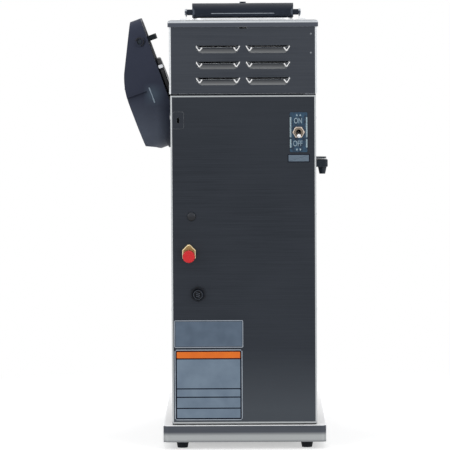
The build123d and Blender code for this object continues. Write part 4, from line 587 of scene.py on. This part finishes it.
printed_plate(
    "upper_plate", left=0.0016, right=0.098, low=0.1422, high=0.1806, corner=0.0018,
    borders=[(0.0011, on_rim), (0.0006, on_ink)],
    face=plate_dim,
)
printed_plate(
    "lower_plate", left=0.0028, right=0.0978, low=0.0403, high=0.1396, corner=0.0035,
    borders=[(0.0013, on_rim), (0.0019, on_ink)],
    rules=[(0.1258, 0.1275), (0.0837, 0.0853), (0.0719, 0.0735), (0.0563, 0.0579)],
    bands=[(0.1275, 0.1364)],
)
printed_plate(
    "switch_name_plate", left=-0.0922, right=-0.0618, low=0.4012, high=0.4124, corner=0.0009,
    borders=[(0.0011, on_ink)],
    face=plate_small,
)

# Heater switch on the rear panel.
# A blue anodised plate with pale strips on its edges that stand for painted highlights, the words
# ON and OFF, a nickel-brass nut and ringed bush, and a bright bat lever that turns on a cross pin.
plate_blue = film(
    "plate_blue", paint(4, 28, 50), paint(40, 76, 102), gloss=0.3, size=0.0045, metallic=0.2
)
finish(plate_blue, "blue_plate", "toggle_plate")
# Painted highlights: pale strips on the plate's edges, broken at the middle, stand for its edge
# glints
edge_highlight = sheet_steel(
    "edge_highlight", paint(104, 128, 140), paint(150, 172, 182), paint(190, 206, 212),
    width=0.0012, length=0.03, gloss=(0.2, 0.32), metallic=0.6,
)
switch_x = -0.077
switch_z = 0.443
ink_y = 0.21705
for side, label in both_sides:
    edge_x = switch_x + side * 0.0112
    for part, low_z, high_z in (("upper", 0.4360, 0.4642), ("lower", 0.4216, 0.4335)):
        rim = block(
            f"switch_plate_glint_{part}_{label}",
            (edge_x - 0.0011, 0.2168, low_z),
            (edge_x + 0.0010, 0.2178, high_z),
        )
        round_off(rim, 0.0006, 4, lambda middle, way: middle.y > 0.2175 and abs(way.z) > 0.9)
        round_off(rim, 0.0009, 3, lambda middle, way: abs(way.y) > 0.9)
        coat(rim, edge_highlight, "chrome")

pale_ink = film("pale_ink", paint(128, 152, 166), paint(176, 196, 206), size=0.004)


def word(name, text, size, spot, turn, material, slot="blue_plate", narrow=1.0):
    """A printed word as thin raised ink."""
    let_go()
    bpy.ops.object.text_add(location=spot, rotation=turn)
    piece = bpy.context.object
    piece.data.body = text
    piece.data.size = size
    piece.data.align_x = "CENTER"
    piece.data.align_y = "CENTER"
    piece.data.extrude = 0.00012
    piece.scale = (narrow, 1.0, 1.0)
    bpy.ops.object.convert(target="MESH")
    piece = settle(bpy.context.object, name)
    bpy.ops.object.mode_set(mode="EDIT")
    bpy.ops.mesh.select_all(action="SELECT")
    bpy.ops.mesh.remove_doubles(threshold=0.000005)
    bpy.ops.mesh.normals_make_consistent(inside=False)
    done()
    coat(piece, material, slot)


rear_turn = (math.pi / 2, 0, math.pi)
word("switch_word_on", "ON", 0.0112, (switch_x + 0.0007, ink_y, switch_z + 0.0157), rear_turn,
     pale_ink, narrow=0.66)
word("switch_word_off", "OFF", 0.0112, (switch_x + 0.0012, ink_y, switch_z - 0.0160), rear_turn,
     pale_ink, narrow=0.68)
for side, label in both_sides:
    for way, height in ((1, 0.0237), (-1, -0.0240)):
        let_go()
        bpy.ops.mesh.primitive_cylinder_add(
            vertices=3,
            radius=0.0016,
            depth=0.00024,
            location=(switch_x + side * 0.0024, ink_y, switch_z + height),
            rotation=(math.pi / 2, math.pi if way < 0 else 0, 0),
        )
        piece = bpy.context.object
        piece.scale = (1.0, 1.4, 1.0)
        end = "top" if way > 0 else "bottom"
        settle(piece, f"switch_arrow_{end}_{label}")
        round_off(piece, 0.0003, 2, lambda middle, direction: abs(direction.y) > 0.9)
        coat(piece, pale_ink, "blue_plate")

polished = sheet_steel(
    "polished_steel", paint(168, 170, 174), paint(198, 200, 204), paint(235, 236, 238),
    width=0.0003, length=0.004, gloss=(0.12, 0.2), metallic=1.0,
)
nickel_brass = sheet_steel(
    "nickel_brass", paint(150, 134, 122), paint(196, 180, 166), paint(236, 226, 214),
    width=0.0006, length=0.004, gloss=(0.18, 0.3), metallic=0.95, edge=0.8,
)
finish(polished, "chrome", "toggle_lever", "airpot_hinge_pin")
dark_pin = sheet_steel(
    "dark_pin", paint(74, 80, 90), paint(92, 98, 108), paint(170, 176, 184), width=0.0004,
    length=0.004, gloss=(0.2, 0.3),
)
finish(dark_pin, "chrome", "pour_pins")
finish(nickel_brass, "chrome", "toggle_nut")
switch_black = moulded(
    "switch_black", paint(12, 13, 16), paint(50, 52, 56), gloss=(0.3, 0.4),
    trims=[([("Behind", 0.2166, 0.2170)], paint(146, 132, 116), 1.0)],
)
finish(switch_black, "black_plastic", "toggle_body")
along_depth = (math.pi / 2, 0, 0)


def round_ring(name, radius, thickness, place, turn, material, slot, body="brewer",
               segments=48, sides=10):
    """A ring of round wire with its finish."""
    let_go()
    bpy.ops.mesh.primitive_torus_add(
        major_radius=radius, minor_radius=thickness, major_segments=segments,
        minor_segments=sides, location=place, rotation=turn,
    )
    coat(settle(bpy.context.object, name), material, slot, body)


for index, (radius, thread) in enumerate(((0.0068, 0.0007), (0.0049, 0.0006))):
    round_ring(f"switch_bush_ring_{index + 1}", radius, thread, (switch_x, 0.2194, switch_z),
               along_depth, nickel_brass, "chrome")

# Plug, water inlet and cord gland on the rear panel.
# A domed black plug painted darker on its lower half as painted shade, a brass inlet under a red
# dust cap with a bead painted a darker red as painted shade, and a black nylon gland that has no
# cord and is closed by a slotted blank, with pale ribs and a ring on the blank that stand for
# painted highlights.
# Painted shade: the domed plug is darker on its lower half
plug_black = moulded(
    "plug_black", paint(34, 38, 46), paint(50, 54, 62), gloss=(0.3, 0.4), specular=0.4,
    trims=[([("Height", 0.3285, 0.3245)], paint(9, 12, 20), 0.9)],
)
finish(plug_black, "black_rubber", "hole_plug")
brass = sheet_steel(
    "turned_brass", paint(124, 98, 58), paint(176, 148, 100), paint(240, 220, 178),
    width=0.0006, length=0.01, gloss=(0.16, 0.3), metallic=0.95, edge=0.8,
)
finish(brass, "brass", "inlet_fitting", "fill_valve")
cap_red = moulded(
    "cap_red", paint(210, 4, 18), paint(228, 40, 50), gloss=(0.16, 0.26), grain=1500.0,
    depth=0.05, specular=0.3, edge=0.6, coat=0.3,
)
# Painted shade: a bead in a darker red stands for the dark line of a groove round the cap's face
cap_groove_shade = moulded("cap_groove_shade", paint(150, 6, 18), paint(176, 30, 40), gloss=(0.3, 0.4))
finish(cap_red, "red_plastic", "inlet_cap")
round_ring("inlet_cap_bead", 0.0083, 0.0005, (0.0766, 0.2395, 0.2715), along_depth, cap_groove_shade,
           "red_plastic", "dust_cap")
black_nylon = moulded(
    "black_nylon", paint(3, 5, 11), paint(62, 68, 82), gloss=(0.24, 0.36), grain=1800.0,
    edge=0.4, radius=0.0005, specular=0.2,
)
finish(black_nylon, "black_plastic", "cord_gland", "gland_nut")
gland_x = 0.0643
gland_z = 0.2174
gland_face_y = 0.2302
slot_size = (0.0068, 0.0016, 0.0008)
slot_turn = (0, math.radians(-14), 0)
let_go()
bpy.ops.mesh.primitive_cylinder_add(
    vertices=40, radius=0.00425, depth=0.006, location=(gland_x, 0.2272, gland_z),
    rotation=along_depth,
)
blank = settle(bpy.context.object, "gland_blank")
round_off(blank, 0.0010, 4, lambda middle, way: middle.y > 0.2300)
for height in (0.0012, -0.0012):
    carve(blank, slot_size, (gland_x, gland_face_y, gland_z + height), slot_turn)
coat(blank, black_nylon, "black_plastic")
# Painted highlights: pale ribs and a ring on the gland's blank stand for its glints
nylon_highlight = moulded(
    "nylon_highlight", paint(66, 73, 84), paint(96, 104, 116), gloss=(0.2, 0.3), grain=1800.0
)
round_ring("gland_ring_glint", 0.0062, 0.0004, (gland_x, 0.2303, gland_z), along_depth, nylon_highlight,
           "black_plastic", sides=8)


def bar(name, start, end, radius, material, slot, body="brewer"):
    """A thin round bar between two points, with eased ends."""
    start = Vector(start)
    way = Vector(end) - start
    let_go()
    bpy.ops.mesh.primitive_cylinder_add(vertices=12, radius=radius, depth=way.length)
    piece = settle(bpy.context.object, name)
    half = way.length / 2
    round_off(piece, radius * 0.45, 2, lambda middle, along: abs(middle.z) > 0.99 * half)
    turn = Vector((0, 0, 1)).rotation_difference(way).to_matrix().to_4x4()
    piece.data.transform(Matrix.Translation(start + way / 2) @ turn)
    coat(piece, material, slot, body)


for index, rise in enumerate((0.0026, 0.0, -0.0026)):
    left_end = (gland_x + 0.0029, gland_face_y, gland_z + rise + 0.0007)
    right_end = (gland_x - 0.0029, gland_face_y, gland_z + rise - 0.0007)
    bar(f"gland_glint_{index + 1}", left_end, right_end, 0.00055, nylon_highlight, "black_plastic")

# Water side inside the trunk.
# A steel tank with a gasketed lid, element, valve, pipes, board and terminal block.
inner_steel = sheet_steel(
    "inner_steel", paint(128, 130, 134), paint(158, 160, 163), paint(200, 202, 204),
    width=0.0016, length=0.05, gloss=(0.34, 0.5), metallic=0.85,
)
finish(
    inner_steel, "inner_steel", "hood_floor", "funnel_rails", "spray_head", "spray_nut", "tank",
    "tank_lid", "tank_stand", "brew_pipe", "drain_pipe", "heating_element", "fill_pipe",
)
grey_rubber = moulded(
    "grey_rubber", paint(98, 99, 102), paint(140, 141, 144), gloss=(0.5, 0.65), grain=800.0
)
finish(grey_rubber, "grey_rubber", "tank_gasket")
board_green = moulded(
    "board_green", paint(24, 92, 48), paint(60, 130, 80), gloss=(0.25, 0.4), grain=500.0
)
finish(board_green, "board_green", "control_board")
coil_grey = moulded("coil_grey", paint(74, 75, 80), paint(110, 112, 116))
finish(coil_grey, "coil_plastic", "valve_coil", "terminal_block", "limit_thermostat")

# Hood: shroud with its louvres, floor and front panel.
# The same sheet as the trunk, a shade lighter, with painted light and shade on each pressed louvre
# and near-white bars along the folds at either end of each that stand for painted highlights,
# painted highlights on its edges, two weld dimples and a tab near one edge, and screws in the
# floor.
louvre_foot = 0.5143 - 0.00525
louvre_pitch = 0.0222
louvre_bottom = [louvre_foot + row * louvre_pitch for row in range(3)]
# Painted light and shade on each louvre: painted shade under its lip, lighter towards its foot as a
# painted reflection of the floor, and a mid grey on its end flanks
louvre_trims = []
for low_z in louvre_bottom:
    inside = [
        ("Height", low_z - 0.0002, low_z),
        ("Height", low_z + 0.0108, low_z + 0.0106),
        ("Behind", 0.21745, 0.2177),
    ]
    louvre_trims += [
        (inside, paint(44, 48, 55), 1.0),
        (inside + [("Height", low_z + 0.0070, low_z + 0.0060)], paint(82, 84, 87), 1.0),
        (inside + [("Height", low_z + 0.0050, low_z + 0.0006)], paint(130, 132, 134), 1.0),
        (inside + [("Sideways", 0.25, 0.45)], paint(76, 80, 86), 0.9),
    ]
# Painted highlights on the shroud's edges and on its side strips, over the louvres' painted light
# and shade
shroud_steel = sheet_steel(
    "shroud_steel", paint(53, 57, 64), paint(68, 72, 79), paint(228, 232, 234), folds=0.0, edge=1.0,
    trims=louvre_trims
    + [([("Aside", 0.1001, 0.1006), ("Behind", 0.2142, 0.2148)], paint(208, 211, 214), 1.0)],
)
finish(shroud_steel, "trunk_steel", "upper_shroud")
finish(trunk_steel, "trunk_steel", "front_panel")
tab_steel = sheet_steel("tab_steel", paint(76, 80, 87), paint(98, 102, 109), paint(150, 154, 158))
# Painted highlights: near-white bars along the folds at either end of each louvre stand for their
# glints
fold_highlight = sheet_steel(
    "fold_highlight", paint(248, 250, 251), paint(252, 253, 254), paint(255, 255, 255), width=0.0003,
    length=0.003, gloss=(0.2, 0.3), metallic=0.2,
)

# Foot and ends of a louvre's folds, where near-white bars stand for painted highlights: inwards
# from its end, depth on the machine, above its foot
louvre_top = 0.0105
glint_radius = 0.00105
fold_foot = (0.0050, 0.2192, louvre_top - 0.0073)
fold_ends = {
    "outer": (0.0007, 0.2177, louvre_top - 0.0006),
    "inner": (0.0086, 0.2219, louvre_top - 0.0024),
}
for row, low_z in enumerate(louvre_bottom):
    for side in (1, -1):
        for edge, way in ((0.00405, 1), (0.06555, -1)):
            for arm, top_end in fold_ends.items():
                foot, head = (
                    (side * (edge + way * x), y, low_z + z) for x, y, z in (fold_foot, top_end)
                )
                end = ("near" if way > 0 else "far") + ("_left" if side > 0 else "_right")
                bar(f"louvre_fold_{row + 1}_{end}_{arm}", foot, head, glint_radius, fold_highlight,
                    "trunk_steel")
for index, height in enumerate((0.5800, 0.5535)):
    let_go()
    bpy.ops.mesh.primitive_uv_sphere_add(
        segments=24, ring_count=12, radius=0.0013, location=(-0.0946, 0.2172, height)
    )
    dimple = bpy.context.object
    dimple.scale = (1.0, 0.55, 1.15)
    settle(dimple, f"weld_dimple_{index + 1}")
    coat(dimple, tab_steel, "trunk_steel")
tab = block("seam_tab", (-0.1005, 0.2150, 0.4957), (-0.0852, 0.2166, 0.4990))
round_off(tab, 0.0009, 3, lambda middle, way: abs(way.y) > 0.9 and middle.z < 0.4970)
coat(tab, tab_steel, "trunk_steel")
for side, label in both_sides:
    set_screws(
        f"hood_screw_{label}",
        [(side * 0.0966, y, 0.5176) for y in (-0.172, -0.108, -0.044)],
        (0, 0, -1),
    )

# Front switches and lamp.
# Two snap-in rockers in black frames marked ON and OFF, and an amber lamp in a chrome ring.
finish(black_nylon, "black_plastic", "brew_switch_frame", "power_switch_frame")
rocker_black = moulded(
    "rocker_black", paint(14, 14, 17), paint(46, 47, 52), gloss=(0.16, 0.26), grain=2500.0,
    depth=0.04, specular=0.5,
)
finish(rocker_black, "rocker_plastic", "brew_rocker", "power_rocker")
lamp_amber = moulded(
    "lamp_amber", paint(226, 120, 30), paint(250, 170, 80), gloss=(0.12, 0.2), grain=600.0,
    depth=0.1, specular=0.5, coat=0.4,
)
finish(lamp_amber, "lamp_plastic", "ready_lamp")
white_ink = film("white_ink", paint(222, 226, 228), paint(236, 238, 240))
rocker_x = 0.042
rocker_frame_y = -0.21002
for side, label in ((1, "brew"), (-1, "power")):
    for text, height in (("ON", 0.5749), ("OFF", 0.5392)):
        spot = (side * rocker_x, rocker_frame_y, height)
        word(f"{label}_word_{text.lower()}", text, 0.0034, spot, along_depth, white_ink,
             "black_plastic")
round_ring("lamp_ring", 0.0072, 0.0009, (0, -0.2083, 0.557), along_depth, polished, "chrome",
           segments=56, sides=12)

# Top cover, basin and hinge brackets.
# A brushed cover with a turned-down skirt whose rolled edge carries a painted highlight and whose
# top carries a painted reflection, the bright rim of the pressed basin with a painted reflection on
# its level faces at a low angle, and two angle brackets that carry the lid, with a painted
# highlight along their tops.
# Painted light on the cover: painted highlights on its rolled edge and on the faces that turn up at
# its folds, and a painted reflection on its top that turns white towards the rear
cover_steel = sheet_steel(
    "cover_steel", paint(66, 70, 79), paint(82, 86, 95), paint(232, 234, 236),
    length=0.12, folds=0.0,
    trims=[
        ([("Height", 0.5955, 0.5961)], paint(192, 196, 201), 1.0),
        ([("Up", 0.62, 0.72)], paint(128, 132, 136), 1.0),
        ([("Up", 0.96, 0.99)], paint(140, 144, 148), 1.0),
        ([("Up", 0.96, 0.99), ("Behind", 0.090, 0.020)], paint(252, 253, 254), 1.0),
    ],
)
finish(cover_steel, "cover_steel", "top_cover")
# A painted reflection whitens the rim's level faces where they are seen at a low angle
rim_steel = sheet_steel(
    "rim_steel", paint(226, 228, 231), paint(240, 241, 243), paint(250, 251, 252),
    gloss=(0.2, 0.32), grazing_reflection=(0.97, 0.98, 0.99, 1.0),
)
finish(rim_steel, "cover_steel", "pour_basin")
# A painted highlight along the brackets' top edges
bracket_steel = sheet_steel(
    "bracket_steel", paint(48, 53, 62), paint(62, 67, 76), paint(150, 156, 164),
    trims=[([("Height", 0.6040, 0.6032)], paint(226, 228, 231), 1.0)],
)
finish(bracket_steel, "cover_steel", "pour_brackets")
for side, label in both_sides:
    set_screws(
        f"cover_screw_{label}",
        [(side * 0.1040, y, 0.5935) for y in (-0.165, 0.004, 0.172)],
        (side, 0, 0),
    )

# Pour lid.
# A black moulded lid with a finger knob and painted highlights at its rear corners, and a pale
# strip along its rear edge that stands for a painted highlight line.
# Painted highlights at the pour lid's rear corners
lid_black = moulded(
    "lid_black", paint(26, 32, 43), paint(46, 53, 65), gloss=(0.42, 0.56), grain=1300.0,
    specular=0.14,
    trims=[([("Height", 0.600, 0.601), ("Sideways", 0.3, 0.6)], paint(92, 100, 112), 0.7)],
)
finish(lid_black, "black_plastic", "pour_lid")
# A pale strip that stands for a painted highlight line along the lid's rear edge
strip = block("lid_highlight_strip", (-0.0462, -0.0600, 0.6074), (0.0462, -0.0588, 0.6085))
round_off(strip, 0.0004, 3, lambda middle, way: middle.y > -0.0590)
highlight_grey = moulded(
    "highlight_grey", paint(128, 136, 146), paint(166, 172, 180), gloss=(0.3, 0.4), grain=1500.0
)
coat(strip, highlight_grey, "grey_rubber", "pour_cover")

# Brew funnel.
# A black moulded funnel that slides in the rails, with a drooping grip.
finish(lid_black, "black_plastic", "funnel", "funnel_handle")

# Airpot body, collar and spout.
# A satin steel body with rolled beads, set in a black foot ring, with a black collar, beak
# and spout. The liner and its cushion are inside.
pot_steel = sheet_steel(
    "pot_steel", paint(128, 131, 136), paint(162, 164, 168), paint(162, 164, 168),
    width=0.0007, length=0.2, gloss=(0.26, 0.4),
)
finish(pot_steel, "pot_steel", "airpot_body", "airpot_liner")
airpot_y = -0.112
bead_radius = 0.0814
for index, height in enumerate((0.0615, 0.0665, 0.3625, 0.3675)):
    round_ring(f"airpot_bead_{index + 1}", bead_radius, 0.0009, (0, airpot_y, height), (0, 0, 0),
               pot_steel, "pot_steel", "airpot", segments=128)
pot_black = moulded(
    "pot_black", paint(31, 41, 51), paint(62, 72, 84), gloss=(0.3, 0.44), grain=1200.0, edge=0.5,
    specular=0.25,
)
finish(
    pot_black, "black_plastic", "airpot_ring", "airpot_collar", "airpot_spout",
    "airpot_lid_latch",
)
floor_black = moulded(
    "floor_black", paint(30, 34, 46), paint(50, 55, 68), gloss=(0.5, 0.6), specular=0.02
)
finish(floor_black, "black_plastic", "airpot_lid_floor")
finish(foot_rubber, "black_rubber", "airpot_liner_cushion", "airpot_pump_bellows")

# Airpot lid.
# A hollow black lid, painted lighter towards its lower end as a painted reflection of the floor,
# with a soft painted highlight and a painted shade on its flank, a latch whose pivots carry a
# moulded mark, a ribbed pump lever, and a grey stopper; a pale streak and a pale glowing block
# stand for painted highlights.
# Painted light on the lid: lighter towards its lower end as a painted reflection of the floor, a
# soft painted highlight on its flank, and a painted shade low down towards the machine
shell_black = moulded(
    "shell_black", paint(59, 64, 80), paint(71, 76, 93), gloss=(0.42, 0.56), grain=1200.0,
    specular=0.08,
    trims=[
        ([("Height", 0.488, 0.432)], paint(112, 120, 136), 0.95),
        (
            [
                ("Height", 0.472, 0.488), ("Height", 0.508, 0.492),
                ("Aside", 0.112, 0.130), ("Aside", 0.146, 0.135),
            ],
            paint(104, 121, 137), 0.55,
        ),
        ([("Aside", 0.126, 0.110), ("Height", 0.500, 0.470)], paint(36, 41, 56), 0.75),
    ],
)
lever_black = moulded(
    "lever_black", paint(20, 21, 28), paint(60, 62, 72), gloss=(0.2, 0.3), grain=1600.0,
    depth=0.06, specular=0.5,
)
finish(lever_black, "chrome", "airpot_lever_pin")
stopper_black = moulded(
    "stopper_black", paint(14, 18, 28), paint(44, 50, 62), gloss=(0.2, 0.34), grain=900.0,
    specular=0.4,
)
finish(stopper_black, "grey_rubber", "airpot_lid_stopper")

# The open lid's own frame: along the lid from its hinge, across it, and up from its floor
lean = math.radians(20)
lid_hinge_x = 0.084
lid_hinge_z = 0.418
lid_frame = Matrix(
    (
        (math.sin(lean), 0, math.cos(lean), lid_hinge_x),
        (0, -1, 0, airpot_y),
        (math.cos(lean), 0, -math.sin(lean), lid_hinge_z),
        (0, 0, 0, 1),
    )
)
cad_back = 0.064
cad_brow = 0.092
cad_slope = 0.042 / 0.103
back_height = 0.0580
brow = cad_brow + (cad_back - back_height) / cad_slope
brow_rounding = 0.0022
brow_reach = 0.024
nose_start = 0.125
nose_fall = 0.086
well_half_width = 0.0375
well_foot = 0.006
well_end = 0.168
well_end_fall = 0.25
well_end_most = 0.0044
back_skin = 0.002
back_cuts = [0.082 + step * 0.005 for step in range(12)] + [well_end, 0.176, 0.1835]


def lid_top(distance):
    """Height of the lid's back at a distance from the hinge, rounded where the slope starts."""
    slope_line = cad_back - (distance - cad_brow) * cad_slope
    slope_line -= max(0.0, distance - nose_start) * nose_fall
    rounding = brow_rounding * max(0.0, 1 - abs(distance - brow) / brow_reach) ** 2
    return min(back_height, slope_line) - rounding


def settle_back(node, name, material, slot, body, thinning=0.0):
    """Stands for a lid piece with its back brought down, and its underside by less."""
    piece = nodes[node].copy()
    piece.data = nodes[node].data.copy()
    bpy.context.scene.collection.objects.link(piece)
    piece.name = name
    piece.data.name = name
    piece.data.transform(lid_frame.inverted())
    for cut_x in back_cuts:
        choose(piece, "FACE", lambda middle, way: True)
        bpy.ops.mesh.bisect(plane_co=(cut_x, 0, 0), plane_no=(1, 0, 0))
        done()
    for vertex in piece.data.vertices:
        distance, across, height = vertex.co
        cad_top = min(cad_back, cad_back - (distance - cad_brow) * cad_slope)
        # Nothing moves below half of the height, and all of it moves from four fifths up
        share = (height - 0.5 * cad_top) / (0.3 * cad_top)
        drop = (cad_top - lid_top(distance)) * min(1.0, max(0.0, share))
        if abs(across) < well_half_width and height > well_foot:
            drop = max(drop, min((distance - well_end) * well_end_fall, well_end_most))
        if height < cad_top - back_skin:
            drop = max(0.0, drop - thinning)
        vertex.co.z -= drop
    piece.data.transform(lid_frame)
    coat(piece, material, slot, body)
    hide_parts(node)


settle_back("airpot_lid_shell", "airpot_lid_housing", shell_black, "black_plastic", "airpot_lid")
settle_back(
    "airpot_pump_lever", "airpot_lever_blade", lever_black, "lever_plastic", "pump_lever",
    thinning=0.0035,
)
first_rib = 0.118
rib_pitch = 0.0088
for index in range(7):
    distance = first_rib + index * rib_pitch
    rib = block(f"lever_rib_{index + 1}", (-0.0011, -0.024, -0.0004), (0.0011, 0.024, 0.0007))
    round_off(rib, 0.0005, 3, lambda middle, way: middle.z > 0.0006)
    fall = lid_top(distance - 0.001) - lid_top(distance + 0.001)
    tilt = Matrix.Rotation(math.atan2(fall, 0.002), 4, "Y")
    rib.data.transform(lid_frame @ Matrix.Translation((distance, 0, lid_top(distance))) @ tilt)
    coat(rib, lever_black, "lever_plastic", "pump_lever")


def swept_ring(name, inner, outer, depth, sweep, start, place):
    """Part of a flat ring, spun about its axis, eased and put in place by a matrix."""
    let_go()
    bpy.ops.mesh.primitive_plane_add(
        size=1.0, location=((inner + outer) / 2, 0, depth / 2), rotation=along_depth
    )
    piece = bpy.context.object
    piece.scale = (outer - inner, depth, 1)
    settle(piece, name)
    bpy.ops.object.mode_set(mode="EDIT")
    bpy.ops.mesh.select_all(action="SELECT")
    bpy.ops.mesh.spin(steps=40, angle=math.radians(sweep), center=(0, 0, 0), axis=(0, 0, 1))
    bpy.ops.mesh.select_all(action="SELECT")
    bpy.ops.mesh.remove_doubles(threshold=0.00001)
    bpy.ops.mesh.fill_holes(sides=4)
    bpy.ops.mesh.select_all(action="SELECT")
    bpy.ops.mesh.normals_make_consistent(inside=False)
    done()
    round_off(
        piece,
        min(outer - inner, depth) * 0.3,
        2,
        lambda middle, way: middle.z > 0.99 * depth and abs(way.z) < 0.1,
    )
    piece.data.transform(place @ Matrix.Rotation(math.radians(start), 4, "Z"))
    return piece


# A pale bar on the lid's flank stands for a painted highlight streak
streak_highlight = moulded(
    "streak_highlight", paint(160, 178, 194), paint(190, 204, 216), gloss=(0.16, 0.24), grain=1500.0,
)
bar("lid_highlight_streak", (0.1372, -0.0300, 0.5005), (0.1289, -0.0297, 0.4785), 0.0011, streak_highlight,
    "black_plastic", "airpot_lid")
mark_black = moulded(
    "mark_black", paint(8, 10, 18), paint(34, 38, 50), gloss=(0.18, 0.26), grain=1200.0,
    specular=0.4,
)
mark_depth = 0.0009
for side, label in ((-1, "rear"), (1, "front")):
    turn = Matrix.Rotation(math.radians(90 if side < 0 else -90), 4, "X")
    spot = lid_frame @ Matrix.Translation((0.163, side * 0.0664, 0.012)) @ turn
    for part, inner, outer, sweep, start in (
        ("mark", 0.0050, 0.0064, 250, 60),
        ("curl", 0.0031, 0.0040, 150, 150),
    ):
        mark = swept_ring(f"latch_{part}_{label}", inner, outer, mark_depth, sweep, start, spot)
        coat(mark, mark_black, "black_plastic", "airpot_lid")

# A pale block that glows stands for a painted highlight on the stopper
window = block("window_highlight_block", (-0.0024, -0.0062, -0.0030), (0.0024, 0.0020, 0.0032))
round_off(window, 0.0007, 3, lambda middle, way: abs(way.y) > 0.9)
window.data.transform(lid_frame @ Matrix.Translation((0.1185, -0.0330, -0.0036)))
window_highlight = moulded(
    "window_highlight", paint(236, 240, 246), paint(250, 252, 255), gloss=(0.1, 0.16), grain=1500.0,
    depth=0.03, specular=0.5, glow=0.6,
)
coat(window, window_highlight, "grey_rubber", "airpot_lid")

bpy.data.objects.remove(screw)

# Studio: floor, lights, sky and camera.
# A plain pale floor that runs out to white, four soft boxes and a top light at a plain level,
# and the camera five metres behind the rear panel, just above the cover.


def seen_directly(tree):
    """1 for rays that show the white surround itself, 0 for those that only light by it."""
    path = wire(tree, "LightPath")
    share = sums(
        tree, "MAXIMUM", path.outputs["Is Camera Ray"], path.outputs["Is Glossy Ray"]
    )
    return sums(tree, "MAXIMUM", share, path.outputs["Is Transmission Ray"])


floor_white, tree, skin = start_material("studio_floor", 0.0, 0.2)
place = wire(tree, "TexCoord")
mottle = noise(tree, place.outputs["Object"], 3.0)
tree.links.new(
    tint(tree, mottle, (0.82, 0.82, 0.82, 1), (0.84, 0.84, 0.84, 1)), skin.inputs["Base Color"]
)
skin.inputs["Roughness"].default_value = 0.9
seen = seen_directly(tree)
glow = wire(tree, "Emission", (1, 1, 1, 1), sums(tree, "MULTIPLY", seen, 0.5))
near = wire(tree, "AddShader", skin.outputs[0], glow.outputs[0])
far = wire(tree, "Emission", (1, 1, 1, 1), 1.0)
reach = wire(tree, "VectorMath", place.outputs["Object"], operation="LENGTH")
shadow_reach = 0.30
white_reach = 0.85
fading = stretch(tree, reach.outputs["Value"], shadow_reach, white_reach, 0.0, 1.0)
share = sums(tree, "MULTIPLY", fading, seen)
output = [node for node in tree.nodes if node.bl_idname == "ShaderNodeOutputMaterial"][0]
tree.links.new(
    wire(tree, "MixShader", share, near.outputs[0], far.outputs[0]).outputs[0], output.inputs[0]
)
let_go()
bpy.ops.mesh.primitive_plane_add(size=60.0, location=(0, 0, -0.0002))
floor = settle(bpy.context.object, "studio_floor")
floor.data.materials.append(floor_white)


def hang_light(name, place, power, size):
    """A square area light that shines down."""
    light = bpy.data.lights.new(name, "AREA")
    light.size = size
    light.energy = power
    lamp = bpy.data.objects.new(name, light)
    lamp.location = place
    bpy.context.scene.collection.objects.link(lamp)
    return lamp


machine_middle = Vector((0, 0, 0.35))
for index, (x, y, power) in enumerate(
    ((2.3, 2.6, 21.0), (-2.3, 2.6, 21.0), (2.3, -2.6, 19.0), (-2.3, -2.6, 19.0))
):
    lamp = hang_light(f"soft_box_{index + 1}", (x, y, 1.5), power, 1.6)
    lamp.data.shape = "RECTANGLE"
    lamp.data.size_y = 2.0
    aim = machine_middle - lamp.location
    lamp.rotation_euler = aim.to_track_quat("-Z", "Y").to_euler()
hang_light("top_light", (0, 0, 3.0), 16.0, 2.4)

world = bpy.data.worlds.new("studio_sky")
bpy.context.scene.world = world
world.use_nodes = True
tree = world.node_tree
tree.nodes.clear()
dim = wire(tree, "Background", (1, 1, 1, 1), 0.5)
white = wire(tree, "Background", (1, 1, 1, 1), 1.0)
mixed = wire(tree, "MixShader", seen_directly(tree), dim.outputs[0], white.outputs[0])
tree.links.new(mixed.outputs[0], wire(tree, "OutputWorld").inputs[0])

lens = bpy.data.cameras.new("photo_camera")
lens.lens = 287.2
lens.clip_end = 100.0
camera = bpy.data.objects.new("photo_camera", lens)
camera.location = (0.0, 5.216, 0.623)
aim = Vector((0.0262, 0.216, 0.3140)) - camera.location
level = aim.to_track_quat("-Z", "Y").to_matrix()
roll = Matrix.Rotation(math.radians(-0.31), 3, "Z")
camera.rotation_euler = (level @ roll).to_euler()
bpy.context.scene.collection.objects.link(camera)
bpy.context.scene.camera = camera
bpy.context.scene.view_settings.view_transform = "Standard"
